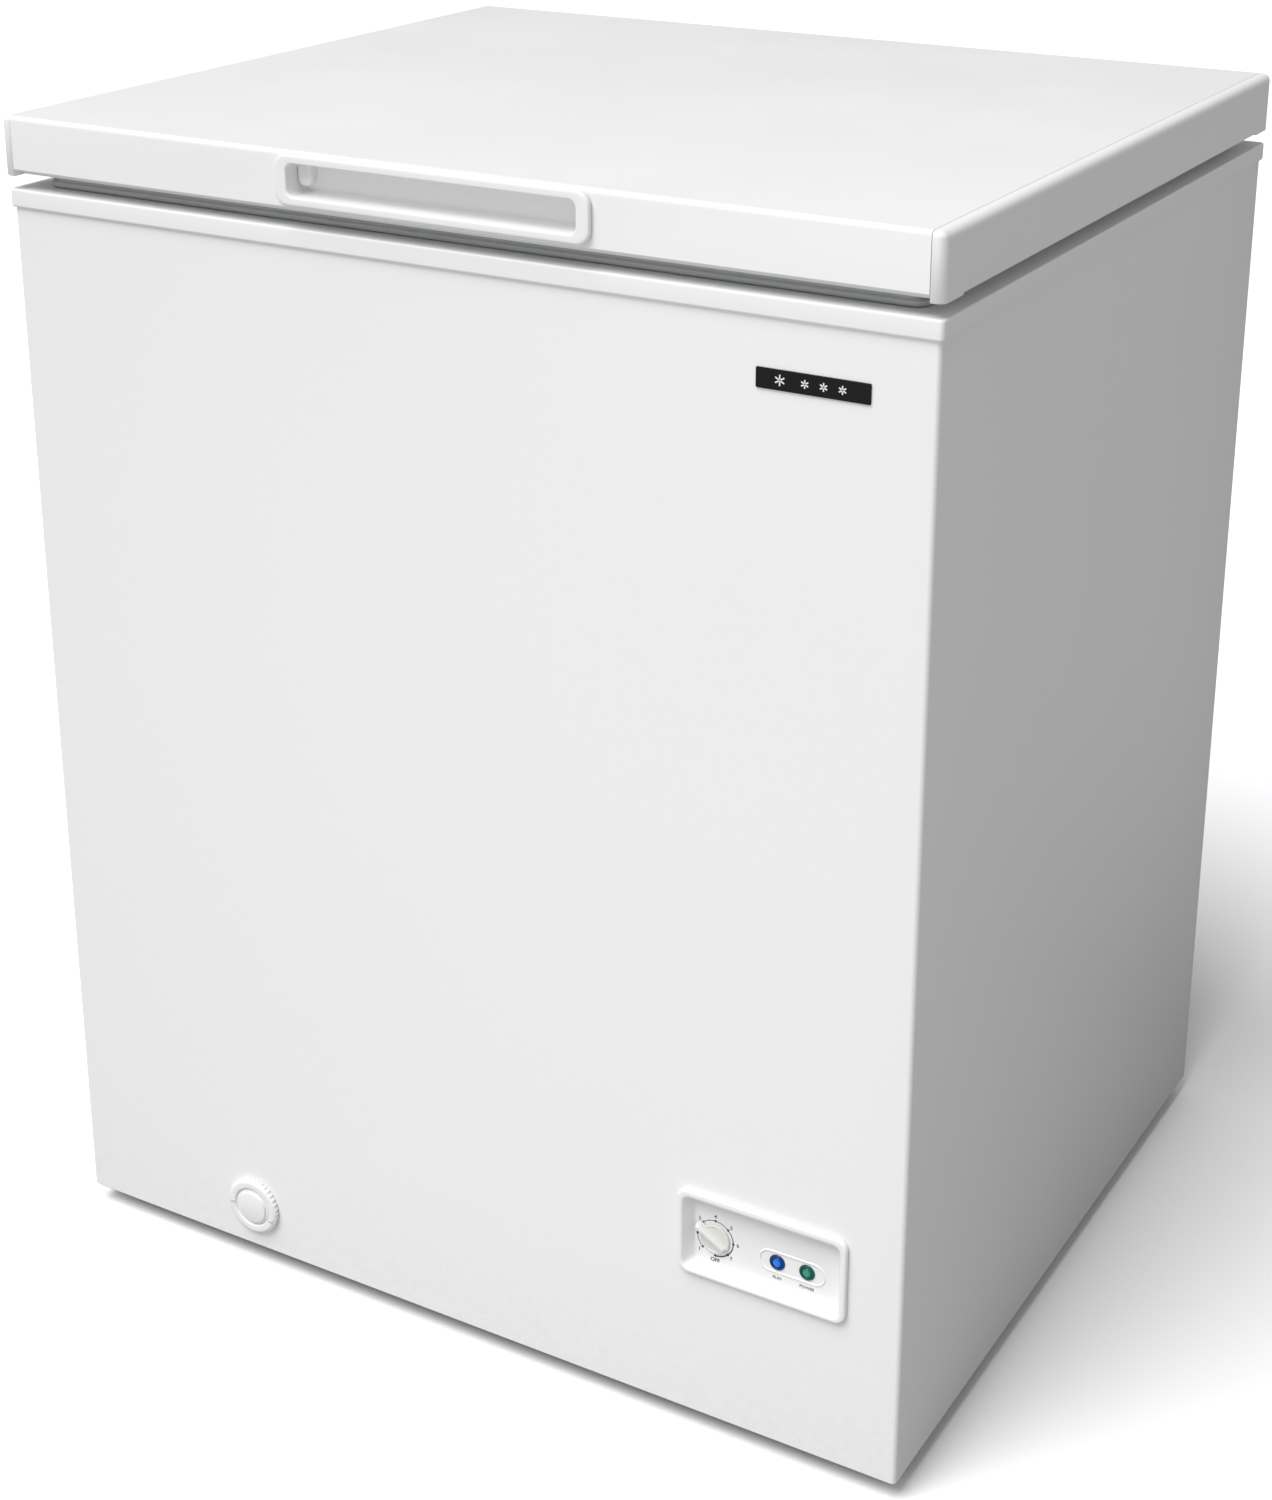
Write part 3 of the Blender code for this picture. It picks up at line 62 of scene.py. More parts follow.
# The tub and its mouth: half width, front, back, step and corner
TUB = (276 * MM, -236 * MM, 216 * MM)
MOUTH = (272 * MM, -232 * MM, 212 * MM)
PLUG = (262 * MM, -222 * MM, 202 * MM)
STEP_X = 118 * MM
TUB_CORNER = 9 * MM

# The basket: left, right, front, back, bottom and top of its wires
BASKET = (62 * MM, 262 * MM, -225 * MM, 205 * MM, 592 * MM, 780 * MM)

# The control panel and its dial
POINTER_TURN = -53  # degrees from upright, at rest
POINTER_TIP = 16 * MM
DIAL_REACH = 13.4 * MM

FLOOR_REACH = 30.0

# Camera
AIM = Vector((-0.0205, -0.0119, 0.5309))
AZIMUTH = 30.155
ELEVATION = 19.509
DISTANCE = 1.9034
LENS = 61.51
RISE = -0.1533  # lens shift that keeps the whole appliance in a tall picture


# ------------------------------ materials

looks = {}


def node_group(name, inputs, outputs):
    """An empty shader node group with named sockets, and its input and output nodes."""
    tree = bpy.data.node_groups.new(name, "ShaderNodeTree")
    for label, kind, value in inputs:
        tree.interface.new_socket(label, in_out="INPUT", socket_type=kind).default_value = value
    for label, kind in outputs:
        tree.interface.new_socket(label, in_out="OUTPUT", socket_type=kind)
    return tree, tree.nodes.new("NodeGroupInput"), tree.nodes.new("NodeGroupOutput")


def add(tree, kind, **settings):
    node = tree.nodes.new(kind)
    for key, value in settings.items():
        setattr(node, key, value)
    return node


def wire(tree, source, target):
    tree.links.new(source, target)


def on_object(tree):
    return add(tree, "ShaderNodeTexCoord").outputs["Object"]


def stretched(tree, scale):
    """Object coordinates squeezed along an axis, so that a pattern runs long that way."""
    node = add(tree, "ShaderNodeMapping")
    node.inputs["Scale"].default_value = scale
    wire(tree, on_object(tree), node.inputs["Vector"])
    return node.outputs["Vector"]


def noise(tree, place, scale, detail=2.0, rough=0.5):
    node = add(tree, "ShaderNodeTexNoise")
    node.inputs["Scale"].default_value = scale
    node.inputs["Detail"].default_value = detail
    node.inputs["Roughness"].default_value = rough
    wire(tree, place, node.inputs["Vector"])
    return node


def remap(tree, source, low, high, out_low, out_high):
    node = add(tree, "ShaderNodeMapRange")
    limits = {"From Min": low, "From Max": high, "To Min": out_low, "To Max": out_high}
    for label, value in limits.items():
        node.inputs[label].default_value = value
    wire(tree, source, node.inputs["Value"])
    return node.outputs["Result"]


def math_node(tree, operation, first, second):
    node = add(tree, "ShaderNodeMath", operation=operation)
    for socket, value in zip(node.inputs, (first, second)):
        if isinstance(value, (int, float)):
            socket.default_value = value
        else:
            wire(tree, value, socket)
    return node.outputs[0]


def make_grain_group():
    """Fine moulding grain or paint texture: a small height field at two sizes."""
    tree, source, out = node_group(
        "surface_grain",
        [("Scale", "NodeSocketFloat", 900.0), ("Ripple", "NodeSocketFloat", 0.4)],
        [("Height", "NodeSocketFloat")],
    )
    place = on_object(tree)
    fine = noise(tree, place, 900.0, 1.0)
    wire(tree, source.outputs["Scale"], fine.inputs["Scale"])
    broad = noise(tree, place, 55.0, 1.0)
    ripple = math_node(tree, "MULTIPLY", broad.outputs["Fac"], source.outputs["Ripple"])
    wire(tree, math_node(tree, "ADD", fine.outputs["Fac"], ripple), out.inputs["Height"])
    return tree


def make_handling_group():
    """Where hands and cloths have been: broad smears and a little dust low down."""
    tree, source, out = node_group(
        "handling",
        [("Dust Height", "NodeSocketFloat", 0.12)],
        [("Smear", "NodeSocketFloat"), ("Dust", "NodeSocketFloat")],
    )
    smear = noise(tree, stretched(tree, (1.0, 1.0, 0.35)), 9.0, 4.0, 0.6)
    wire(tree, remap(tree, smear.outputs["Fac"], 0.38, 0.68, 0.0, 1.0), out.inputs["Smear"])
    place = on_object(tree)
    split = add(tree, "ShaderNodeSeparateXYZ")
    wire(tree, place, split.inputs["Vector"])
    reach = math_node(tree, "DIVIDE", split.outputs["Z"], source.outputs["Dust Height"])
    low = remap(tree, reach, 0.0, 1.0, 1.0, 0.0)
    speck = noise(tree, place, 240.0, 3.0, 0.7)
    patch = remap(tree, speck.outputs["Fac"], 0.4, 0.75, 0.1, 1.0)
    wire(tree, math_node(tree, "MULTIPLY", low, patch), out.inputs["Dust"])
    return tree


def make_brush_group():
    """Fine drawn lines along X on rolled or plated steel."""
    tree, source, out = node_group(
        "drawn_lines",
        [("Spacing", "NodeSocketFloat", 1400.0)],
        [("Lines", "NodeSocketFloat")],
    )
    lines = noise(tree, stretched(tree, (0.03, 1.0, 1.0)), 1400.0)
    wire(tree, source.outputs["Spacing"], lines.inputs["Scale"])
    wire(tree, lines.outputs["Fac"], out.inputs["Lines"])
    return tree


GRAIN = make_grain_group()
HANDLING = make_handling_group()
BRUSH = make_brush_group()


def use_group(tree, group, **values):
    node = add(tree, "ShaderNodeGroup", node_tree=group)
    for label, value in values.items():
        node.inputs[label.replace("_", " ")].default_value = value
    return node


def mixed(tree, mask, first, second):
    """A colour that goes from first to second with the mask."""
    node = add(tree, "ShaderNodeMix", data_type="RGBA")
    node.inputs["A"].default_value = (*first, 1.0)
    node.inputs["B"].default_value = (*second, 1.0)
    wire(tree, mask, node.inputs["Factor"])
    return node.outputs["Result"]


def start_material(name, metallic=0.0):
    made = bpy.data.materials.new(name)
    made.use_nodes = True
    shader = made.node_tree.nodes["Principled BSDF"]
    shader.inputs["Metallic"].default_value = metallic
    looks[name] = made
    return made.node_tree, shader


def bump(tree, shader, height, distance, strength=1.0):
    node = add(tree, "ShaderNodeBump")
    node.inputs["Strength"].default_value = strength
    node.inputs["Distance"].default_value = distance
    wire(tree, height, node.inputs["Height"])
    wire(tree, node.outputs["Normal"], shader.inputs["Normal"])


def shade(colour, factor):
    return tuple(channel * factor for channel in colour)


def solid_finish(
    name, colour, rough, grain, relief, ripple=0.4, metallic=0.0, coat=0.0, specular=0.5
):
    """A painted, moulded or rubber surface: grain in relief, smears in gloss, dust low down."""
    tree, shader = start_material(name, metallic)
    texture = use_group(tree, GRAIN, Scale=grain, Ripple=ripple)
    handling = use_group(tree, HANDLING)
    dusty = mixed(tree, handling.outputs["Dust"], colour, shade(colour, 0.93))
    wire(tree, dusty, shader.inputs["Base Color"])
    gloss = remap(tree, handling.outputs["Smear"], 0.0, 1.0, rough - 0.035, rough + 0.035)
    wire(tree, gloss, shader.inputs["Roughness"])
    shader.inputs["Specular IOR Level"].default_value = specular
    shader.inputs["Coat Weight"].default_value = coat
    shader.inputs["Coat Roughness"].default_value = 0.12
    bump(tree, shader, texture.outputs["Height"], relief * MM)


def drawn_metal(name, colour, rough, tint):
    """Bare or plated metal with drawn lines and slight tarnish."""
    tree, shader = start_material(name, 1.0)
    lines = use_group(tree, BRUSH)
    handling = use_group(tree, HANDLING)
    wire(tree, mixed(tree, handling.outputs["Smear"], colour, tint), shader.inputs["Base Color"])
    gloss = remap(tree, lines.outputs["Lines"], 0.2, 0.8, rough - 0.08, rough + 0.1)
    wire(tree, gloss, shader.inputs["Roughness"])
    bump(tree, shader, lines.outputs["Lines"], 0.01 * MM)


def stucco_sheet(name, colour):
    """Painted aluminium sheet with a small pressed pebble pattern, as inside a freezer tub."""
    tree, shader = start_material(name)
    pebbles = add(tree, "ShaderNodeTexVoronoi", feature="SMOOTH_F1")
    pebbles.inputs["Scale"].default_value = 260.0
    pebbles.inputs["Smoothness"].default_value = 0.6
    wire(tree, on_object(tree), pebbles.inputs["Vector"])
    handling = use_group(tree, HANDLING)
    dimple = remap(tree, pebbles.outputs["Distance"], 0.0, 0.6, 1.0, 0.0)
    # The sheet is painted darker in the creases between the pebbles: painted shade in the low parts of the
    # pattern.
    wire(tree, mixed(tree, dimple, shade(colour, 0.965), colour), shader.inputs["Base Color"])
    gloss = remap(tree, handling.outputs["Smear"], 0.0, 1.0, 0.3, 0.4)
    wire(tree, gloss, shader.inputs["Roughness"])
    bump(tree, shader, dimple, 0.25 * MM, 0.5)


def rigid_foam(name, colour):
    """Cut polyurethane foam: pale cells with darker pits."""
    tree, shader = start_material(name)
    cells = add(tree, "ShaderNodeTexVoronoi")
    cells.inputs["Scale"].default_value = 700.0
    wire(tree, on_object(tree), cells.inputs["Vector"])
    pits = remap(tree, cells.outputs["Distance"], 0.1, 0.7, 0.0, 1.0)
    # The pits are painted darker than the cell walls: painted shade inside the cut cells.
    wire(tree, mixed(tree, pits, shade(colour, 0.7), colour), shader.inputs["Base Color"])
    wire(tree, remap(tree, pits, 0.0, 1.0, 0.95, 0.85), shader.inputs["Roughness"])
    bump(tree, shader, pits, 0.3 * MM, 0.6)


def tinted_lens(name, rim, centre, place, radius):
    """A moulded lamp lens: deep at its rim, bright over the lamp behind its middle."""
    tree, shader = start_material(name)
    shift = add(tree, "ShaderNodeMapping")
    shift.inputs["Location"].default_value = (-place.x, 0.0, -place.z)
    shift.inputs["Scale"].default_value = (1.0, 0.0, 1.0)
    wire(tree, on_object(tree), shift.inputs["Vector"])
    length = add(tree, "ShaderNodeVectorMath", operation="LENGTH")
    wire(tree, shift.outputs["Vector"], length.inputs[0])
    glow = remap(tree, length.outputs["Value"], 0.3 * radius, 0.62 * radius, 1.0, 0.0)
    colour = mixed(tree, glow, rim, centre)
    wire(tree, colour, shader.inputs["Base Color"])
    wire(tree, colour, shader.inputs["Emission Color"])
    shader.inputs["Emission Strength"].default_value = 0.1
    speck = noise(tree, shift.outputs["Vector"], 900.0)
    wire(tree, remap(tree, speck.outputs["Fac"], 0.3, 0.7, 0.1, 0.2), shader.inputs["Roughness"])
    shader.inputs["Specular IOR Level"].default_value = 0.3
    shader.inputs["Coat Weight"].default_value = 0.2


WHITE = (0.81, 0.812, 0.815)


# Colour, roughness, fineness of grain, its relief in mm, and what else a finish has
FINISHES = {
    "white_enamel": (WHITE, 0.36, 650.0, 0.012, {"ripple": 1.2, "coat": 0.15}),
    "white_plastic": (shade(WHITE, 0.99), 0.42, 1600.0, 0.02, {}),
    "grey_steel": ((0.5, 0.51, 0.52), 0.42, 500.0, 0.02, {"metallic": 0.7}),
    "grey_plastic": ((0.12, 0.12, 0.125), 0.55, 1300.0, 0.04, {}),
    "knob_plastic": ((0.69, 0.685, 0.66), 0.38, 1800.0, 0.015, {}),
    "black_steel": ((0.02, 0.02, 0.022), 0.38, 500.0, 0.03, {"ripple": 1.0}),
    "black_rubber": ((0.03, 0.03, 0.03), 0.75, 1500.0, 0.04, {}),
    "grey_rubber": ((0.5, 0.505, 0.51), 0.6, 1400.0, 0.03, {}),
    "dark_plate": ((0.008, 0.008, 0.009), 0.35, 2000.0, 0.006, {"specular": 0.12}),
    "green_board": ((0.03, 0.22, 0.09), 0.4, 1200.0, 0.02, {}),
    "white_wire": (WHITE, 0.35, 1100.0, 0.03, {"ripple": 0.8}),
    "print_ink": ((0.06, 0.06, 0.065), 0.5, 2500.0, 0.004, {}),
    "pale_print": ((0.8, 0.8, 0.8), 0.45, 2500.0, 0.004, {}),
}


def make_materials():
    for name, (colour, rough, grain, relief, more) in FINISHES.items():
        solid_finish(name, colour, rough, grain, relief, **more)
    stucco_sheet("white_liner", (0.78, 0.79, 0.795))
    rigid_foam("foam", (0.86, 0.74, 0.45))
    drawn_metal("aluminium_tube", (0.76, 0.77, 0.78), 0.35, (0.66, 0.67, 0.68))
    drawn_metal("copper_tube", (0.76, 0.42, 0.27), 0.32, (0.5, 0.27, 0.18))
    drawn_metal("plated_steel", (0.62, 0.62, 0.63), 0.36, (0.52, 0.52, 0.5))
    for colour, rim, centre in (
        ("blue", (0.0, 0.024, 0.16), (0.004, 0.19, 0.68)),
        ("green", (0.002, 0.075, 0.055), (0.03, 0.26, 0.2)),
    ):
        low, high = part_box(f"lamp_{colour}")
        tinted_lens(f"{colour}_lens", rim, centre, (low + high) / 2, (high.x - low.x) / 2)


# ------------------------------ shape tools


def placed(name, data):
    """An object at the origin, in the scene."""
    obj = bpy.data.objects.new(name, data)
    bpy.context.scene.collection.objects.link(obj)
    return obj


def mesh_of(curve):
    """The mesh that a curve or a text makes; the curve's own object is removed."""
    holder = placed(curve.name, curve)
    graph = bpy.context.evaluated_depsgraph_get()
    mesh = bpy.data.meshes.new_from_object(holder.evaluated_get(graph))
    bpy.data.objects.remove(holder, do_unlink=True)
    return mesh


def object_from(bm, name, sharp=35.0, weld=0.0):
    if weld:
        bmesh.ops.remove_doubles(bm, verts=bm.verts, dist=weld)
    bmesh.ops.recalc_face_normals(bm, faces=bm.faces)
    if bm.calc_volume(signed=True) < 0:
        bmesh.ops.reverse_faces(bm, faces=bm.faces)
    mesh = bpy.data.meshes.new(name)
    bm.to_mesh(mesh)
    bm.free()
    mesh.shade_smooth()
    mesh.set_sharp_from_angle(angle=math.radians(sharp))
    return placed(name, mesh)


def dress(obj, node, slot=None):
    """Finishes a new piece with the slot of a CAD node and lets it move with that node's body."""
    slot = slot or SLOT_OF[node]
    obj.data.materials.clear()
    obj.data.materials.append(looks[slot])
    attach(obj, BODY_OF[node])
    return obj


def stand_in(obj, *nodes):
    """A new piece that takes the place of CAD nodes."""
    dress(obj, nodes[0])
    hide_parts(*nodes)
    return obj


def add_box(bm, low, high):
    low, high = Vector(low), Vector(high)
    size = Matrix.Diagonal((*(high - low), 1.0))
    place = Matrix.Translation((low + high) / 2)
    return bmesh.ops.create_cube(bm, size=1.0, matrix=place @ size)["verts"]


def bevel(bm, edges, offset, segments):
    bmesh.ops.bevel(
        bm, geom=list(edges), offset=offset, offset_type="OFFSET", segments=segments,
        profile=0.5, affect="EDGES", material=-1, clamp_overlap=True,
    )


def block(name, low, high, radius=0.0, segments=4):
    """A box, with every edge rounded where a radius is given."""
    bm = bmesh.new()
    add_box(bm, low, high)
    if radius:
        bevel(bm, bm.edges, radius, segments)
    return object_from(bm, name)


def arc(centre, radius, start, end, steps):
    angles = [math.radians(start + (end - start) * i / steps) for i in range(steps + 1)]
    return [(centre[0] + radius * math.cos(a), centre[1] + radius * math.sin(a)) for a in angles]


def rounded_rect(centre, width, height, radius, steps=6):
    radius = max(radius, 0.05 * MM)
    points = []
    for sx, sy, start in ((1, 1, 0), (-1, 1, 90), (-1, -1, 180), (1, -1, 270)):
        middle = (centre[0] + sx * (width / 2 - radius), centre[1] + sy * (height / 2 - radius))
        points += arc(middle, radius, start, start + 90, steps)
    return points


def circle(centre, radius, count):
    return arc(centre, radius, 0, 360 * (count - 1) / count, count - 1)


def across(axis, flat, height):
    """Points of a flat outline, set at a height along an axis."""
    first, second = {"X": (1, 2), "Y": (0, 2), "Z": (0, 1)}[axis]
    points = []
    for a, b in flat:
        point = Vector((height, height, height))
        point[first], point[second] = a, b
        points.append(point)
    return points


def extrude_through(bm, verts, edges, ring):
    """Extrudes a loop or path of edges once and moves its new points to a ring's places."""
    made = bmesh.ops.extrude_edge_only(bm, edges=edges)["geom"]
    fresh = {item for item in made if isinstance(item, bmesh.types.BMVert)}
    moved = [next(e.other_vert(v) for e in v.link_edges if e.other_vert(v) in fresh) for v in verts]
    for vert, place in zip(moved, ring):
        vert.co = place
    pairs = zip(moved, moved[1:] + moved[:1])
    found = [bm.edges.get(pair) for pair in pairs]
    return moved, [edge for edge in found if edge]


def skin(name, rings, closed=False, sharp=35.0):
    """A closed body: an outline extruded through rings, capped, or joined into a loop."""
    bm = bmesh.new()
    verts = [bm.verts.new(point) for point in rings[0]]
    edges = [bm.edges.new(pair) for pair in zip(verts, verts[1:] + verts[:1])]
    if not closed:
        bm.faces.new(verts)
    for ring in rings[1:] + ([rings[0]] if closed else []):
        verts, edges = extrude_through(bm, verts, edges, ring)
    if not closed:
        bm.faces.new(verts)
    return object_from(bm, name, sharp, weld=1e-6 if closed else 0.0)


def profiled(name, stages, steps=4, closed=False, sharp=35.0):
    """A skin through (ring, rounding) stages; a rounding, in mm, curves between its neighbours."""
    rings = []
    for i, (ring, rounding) in enumerate(stages):
        radius = rounding * MM
        if not rounding or (not closed and i in (0, len(stages) - 1)):
            rings.append(ring)
            continue
        before, after = stages[i - 1][0], stages[(i + 1) % len(stages)][0]
        for step in range(steps + 1):
            t = step / steps
            curve = []
            for a, p, b in zip(before, ring, after):
                start = p + (a - p) * min(radius / max((a - p).length, 1e-9), 0.49)
                end = p + (b - p) * min(radius / max((b - p).length, 1e-9), 0.49)
                curve.append(start.lerp(p, t).lerp(p.lerp(end, t), t))
            rings.append(curve)
    return skin(name, rings, closed, sharp)


def folded_sheet(name, path, thickness):
    """Sheet metal: an open path extruded once, then given its thickness inwards."""
    bm = bmesh.new()
    verts = [bm.verts.new(point) for point in path[0]]
    edges = [bm.edges.new(pair) for pair in zip(verts, verts[1:])]
    for row in path[1:]:
        verts, edges = extrude_through(bm, verts, edges, row)
    bmesh.ops.recalc_face_normals(bm, faces=bm.faces)
    middle = sum((face.calc_center_median() for face in bm.faces), Vector()) / len(bm.faces)
    widest = max(bm.faces, key=lambda face: face.calc_area())
    if widest.normal.dot(widest.calc_center_median() - middle) < 0:
        bmesh.ops.reverse_faces(bm, faces=bm.faces)
    bmesh.ops.solidify(bm, geom=bm.faces[:], thickness=thickness)
    return object_from(bm, name)


def carve(obj, operation, *others):
    """Cuts or joins other objects, keeps the result and removes them."""
    for other in others:
        modifier = obj.modifiers.new("carve", "BOOLEAN")
        modifier.operation = operation
        modifier.object = other
        modifier.solver = "EXACT"
    graph = bpy.context.evaluated_depsgraph_get()
    mesh = bpy.data.meshes.new_from_object(obj.evaluated_get(graph))
    obj.modifiers.clear()
    obj.data = mesh
    mesh.set_sharp_from_angle(angle=math.radians(35))
    for other in others:
        bpy.data.objects.remove(other, do_unlink=True)
    return obj


def plan_ring(half, front, back, radius, height, steps=6):
    middle = (0, (front + back) / 2)
    return across("Z", rounded_rect(middle, 2 * half, back - front, radius, steps), height)


def front_box(node):
    """A CAD node's box, and the middle of its front as (x, z)."""
    low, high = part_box(node)
    return low, high, ((low.x + high.x) / 2, (low.z + high.z) / 2)


def front_ring(centre, width, height, radius, depth, steps=6):
    return across("Y", rounded_rect(centre, width, height, radius, steps), depth)


def turned(name, profile, axis, centre, count=48, sharp=35.0):
    """A round piece from (height, radius) steps along an axis."""
    return skin(name, [across(axis, circle(centre, r, count), h) for h, r in profile], sharp=sharp)


# ------------------------------ cabinet


def wrapper_plan(low, high, inset, flange):
    half, front, back = high.x - inset, low.y + inset, high.y - inset
    radius = CORNER - inset
    right = arc((half - radius, front + radius), radius, 0, -90, 8)
    left = arc((radius - half, front + radius), radius, 270, 180, 8)
    bend = 1.5 * MM
    rear_right = arc((half - bend, back - bend), bend, 90, 0, 3)
    rear_left = arc((bend - half, back - bend), bend, 180, 90, 3)
    return [(half - flange, back), *rear_right, *right, *left, *rear_left, (flange - half, back)]


def make_cabinet_skin():
    low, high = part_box("outer_wrapper")
    plan = wrapper_plan(low, high, 0.0, 12 * MM)
    hem = wrapper_plan(low, high, 1.2 * MM, 10.8 * MM)
    rows = [across("Z", plan, z) for z in (low.z + 1.2 * MM, high.z)]
    rows.insert(0, across("Z", hem, low.z))
    obj = folded_sheet("cabinet_skin", rows, SHEET)
    panel_low, panel_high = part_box("control_panel")
    rim = Vector((5.3, 0, 5.3)) * MM
    window_low, window_high = panel_low + rim, panel_high - rim
    window_low.y, window_high.y = low.y - MM, low.y + 3 * MM
    window = block("window", window_low, window_high)
    *_, centre = front_box("drain_spout")
    depths = (low.y - MM, low.y + 3 * MM)
    hole = turned("hole", [(depth, 10.3 * MM) for depth in depths], "Y", centre, 24)
    stand_in(carve(obj, "DIFFERENCE", window, hole), "outer_wrapper")


def make_mouth_frame():
    """Moulded frame round the mouth: outer lip, flat gasket seat with a groove, inner skirt."""
    low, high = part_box("top_frame")
    _, wrapper_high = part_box("outer_wrapper")
    mouth_half, mouth_front, mouth_back = MOUTH

    def outer(inset, z, radius=CORNER):
        return plan_ring(high.x - inset, low.y + inset, high.y - inset, radius, z)

    def mouth(grow, z, radius=10 * MM):
        return plan_ring(mouth_half + grow, mouth_front - grow, mouth_back + grow, radius + grow, z)

    base = wrapper_high.z + 0.3 * MM
    groove = high.z - 0.8 * MM
    wall = 2.2 * MM
    stages = [
        (outer(0.6 * MM, base), 0.4),
        (outer(0, base + 0.9 * MM), 0.6),
        (outer(0, high.z), 1.8),
        (outer(30 * MM, high.z, 8 * MM), 0.3),
        (outer(30.6 * MM, groove, 8 * MM), 0.3),
        (outer(33 * MM, groove, 8 * MM), 0.3),
        (outer(33.6 * MM, high.z, 8 * MM), 0.3),
        (mouth(0, high.z), 3),
        (mouth(0, low.z), 0.8),
        (mouth(wall, low.z), 0.8),
        (mouth(wall, high.z - 3 * MM), 0.0),
        (outer(4 * MM, high.z - 3 * MM, 3 * MM), 0.0),
        (outer(4 * MM, base, 3 * MM), 0.0),
    ]
    stand_in(profiled("mouth_frame", stages, closed=True), "top_frame")


def make_tub():
    """The tub's wrapped walls with their flange, and the folded sheet of its floor and step."""
    low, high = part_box("inner_liner")
    bottom_low, bottom_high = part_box("liner_bottom")
    half, front, back = TUB
    wall = 1.2 * MM
    under = high.z - 0.7 * MM

    def plan(grow, z):
        return plan_ring(half + grow, front - grow, back + grow, TUB_CORNER + grow, z, 8)

    def flange(z):
        return plan_ring(high.x, low.y, high.y, 2 * MM, z, 8)

    stages = [
        (plan(0, low.z), 0.0),
        (plan(0, high.z), 1.5),
        (flange(high.z), 0.2),
        (flange(under), 0.2),
        (plan(wall, under), 0.5),
        (plan(wall, low.z), 0.0),
    ]
    walls = profiled("tub_walls", stages, closed=True)
    step_top = bottom_high.z
    step_low = (STEP_X + wall, low.y - MM, low.z - MM)
    under_step = block("under_step", step_low, (high.x + MM, high.y + MM, step_top - wall))
    stand_in(carve(walls, "DIFFERENCE", under_step), "inner_liner")

    floor, fold = bottom_low.z + wall, 6 * MM
    left, right = bottom_low.x, bottom_high.x
    corners = [(left, 0, floor), (STEP_X, 0, floor), (STEP_X, 0, step_top), (right, 0, step_top)]
    route = rounded_loop(corners, fold, steps=8, closed=False)
    edges = [Vector((0, y, 0)) for y in (bottom_low.y, bottom_high.y)]
    rows = [[point + edge for point in route] for edge in edges]
    sheet = folded_sheet("tub_bottom", rows, -wall)
    fit = skin("fit", [plan(-0.3 * MM, z) for z in (bottom_low.z - MM, bottom_high.z + MM)])
    stopper_low, stopper_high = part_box("drain_stopper")
    well = ((stopper_low + stopper_high) / 2)[:2]
    heights = (floor - 6 * MM, floor + 6 * MM)
    outlet = turned("outlet", [(z, 9 * MM) for z in heights], "Z", well, 24)
    carve(sheet, "INTERSECT", fit)
    stand_in(carve(sheet, "DIFFERENCE", outlet), "liner_bottom")


# ------------------------------ lid


def make_lid_shell():
    low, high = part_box("lid_skin")
    radius = 3.5 * MM
    over_front = arc((low.y + radius, high.z - radius), radius, 180, 90, 8)
    over_back = arc((high.y - radius, high.z - radius), radius, 90, 0, 8)
    hem = 5 * MM
    path = [
        (low.y + hem, low.z + SHEET / 2),
        (low.y + 0.6 * MM, low.z + SHEET / 2),
        (low.y, low.z + 1.2 * MM),
        *over_front,
        *over_back,
        (high.y, low.z + 1.2 * MM),
        (high.y - 0.6 * MM, low.z + SHEET / 2),
        (high.y - hem, low.z + SHEET / 2),
    ]
    obj = folded_sheet("lid_shell", [across("X", path, x) for x in (low.x, high.x)], SHEET)
    grip_low, grip_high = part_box("handle_grip")
    window = block(
        "window",
        (grip_low.x + 7 * MM, low.y - MM, grip_low.z + 4 * MM),
        (grip_high.x - 7 * MM, low.y + 2 * MM, grip_high.z - 4 * MM),
    )
    stand_in(carve(obj, "DIFFERENCE", window), "lid_skin")


def make_lid_caps():
    """Moulded end caps with a rounded outer edge and a short foot at each end."""
    for side, sign in (("left", -1), ("right", 1)):
        node = f"lid_end_cap_{side}"
        low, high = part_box(node)
        inside, outside = sorted((abs(low.x), abs(high.x)))
        edge = 5.5 * MM

        def outline(inset):
            front, back, top = low.y + inset, high.y - inset, high.z - inset
            radius = 4 * MM - min(inset, 3 * MM)
            foot, notch, chamfer = 27 * MM, 1.3 * MM, 0.8 * MM
            return [
                (front + 0.8 * MM, low.z),
                (front, low.z + 0.8 * MM),
                *arc((front + radius, top - radius), radius, 180, 90, 6),
                *arc((back - radius, top - radius), radius, 90, 0, 6),
                (back, low.z + 0.8 * MM),
                (back - 0.8 * MM, low.z),
                (high.y - foot, low.z),
                (high.y - foot - chamfer, low.z + notch),
                (low.y + foot + chamfer, low.z + notch),
                (low.y + foot, low.z),
            ]

        stages = [(inside, 0.25 * MM), (inside + 0.25 * MM, 0.0)]
        for step in range(9):
            turn = math.radians(90 * step / 8)
            stages.append((outside - edge * (1 - math.sin(turn)), edge * (1 - math.cos(turn))))
        rings = [across("X", outline(inset), sign * x) for x, inset in stages]
        stand_in(skin(f"lid_cap_{side}", rings, sharp=50), node)


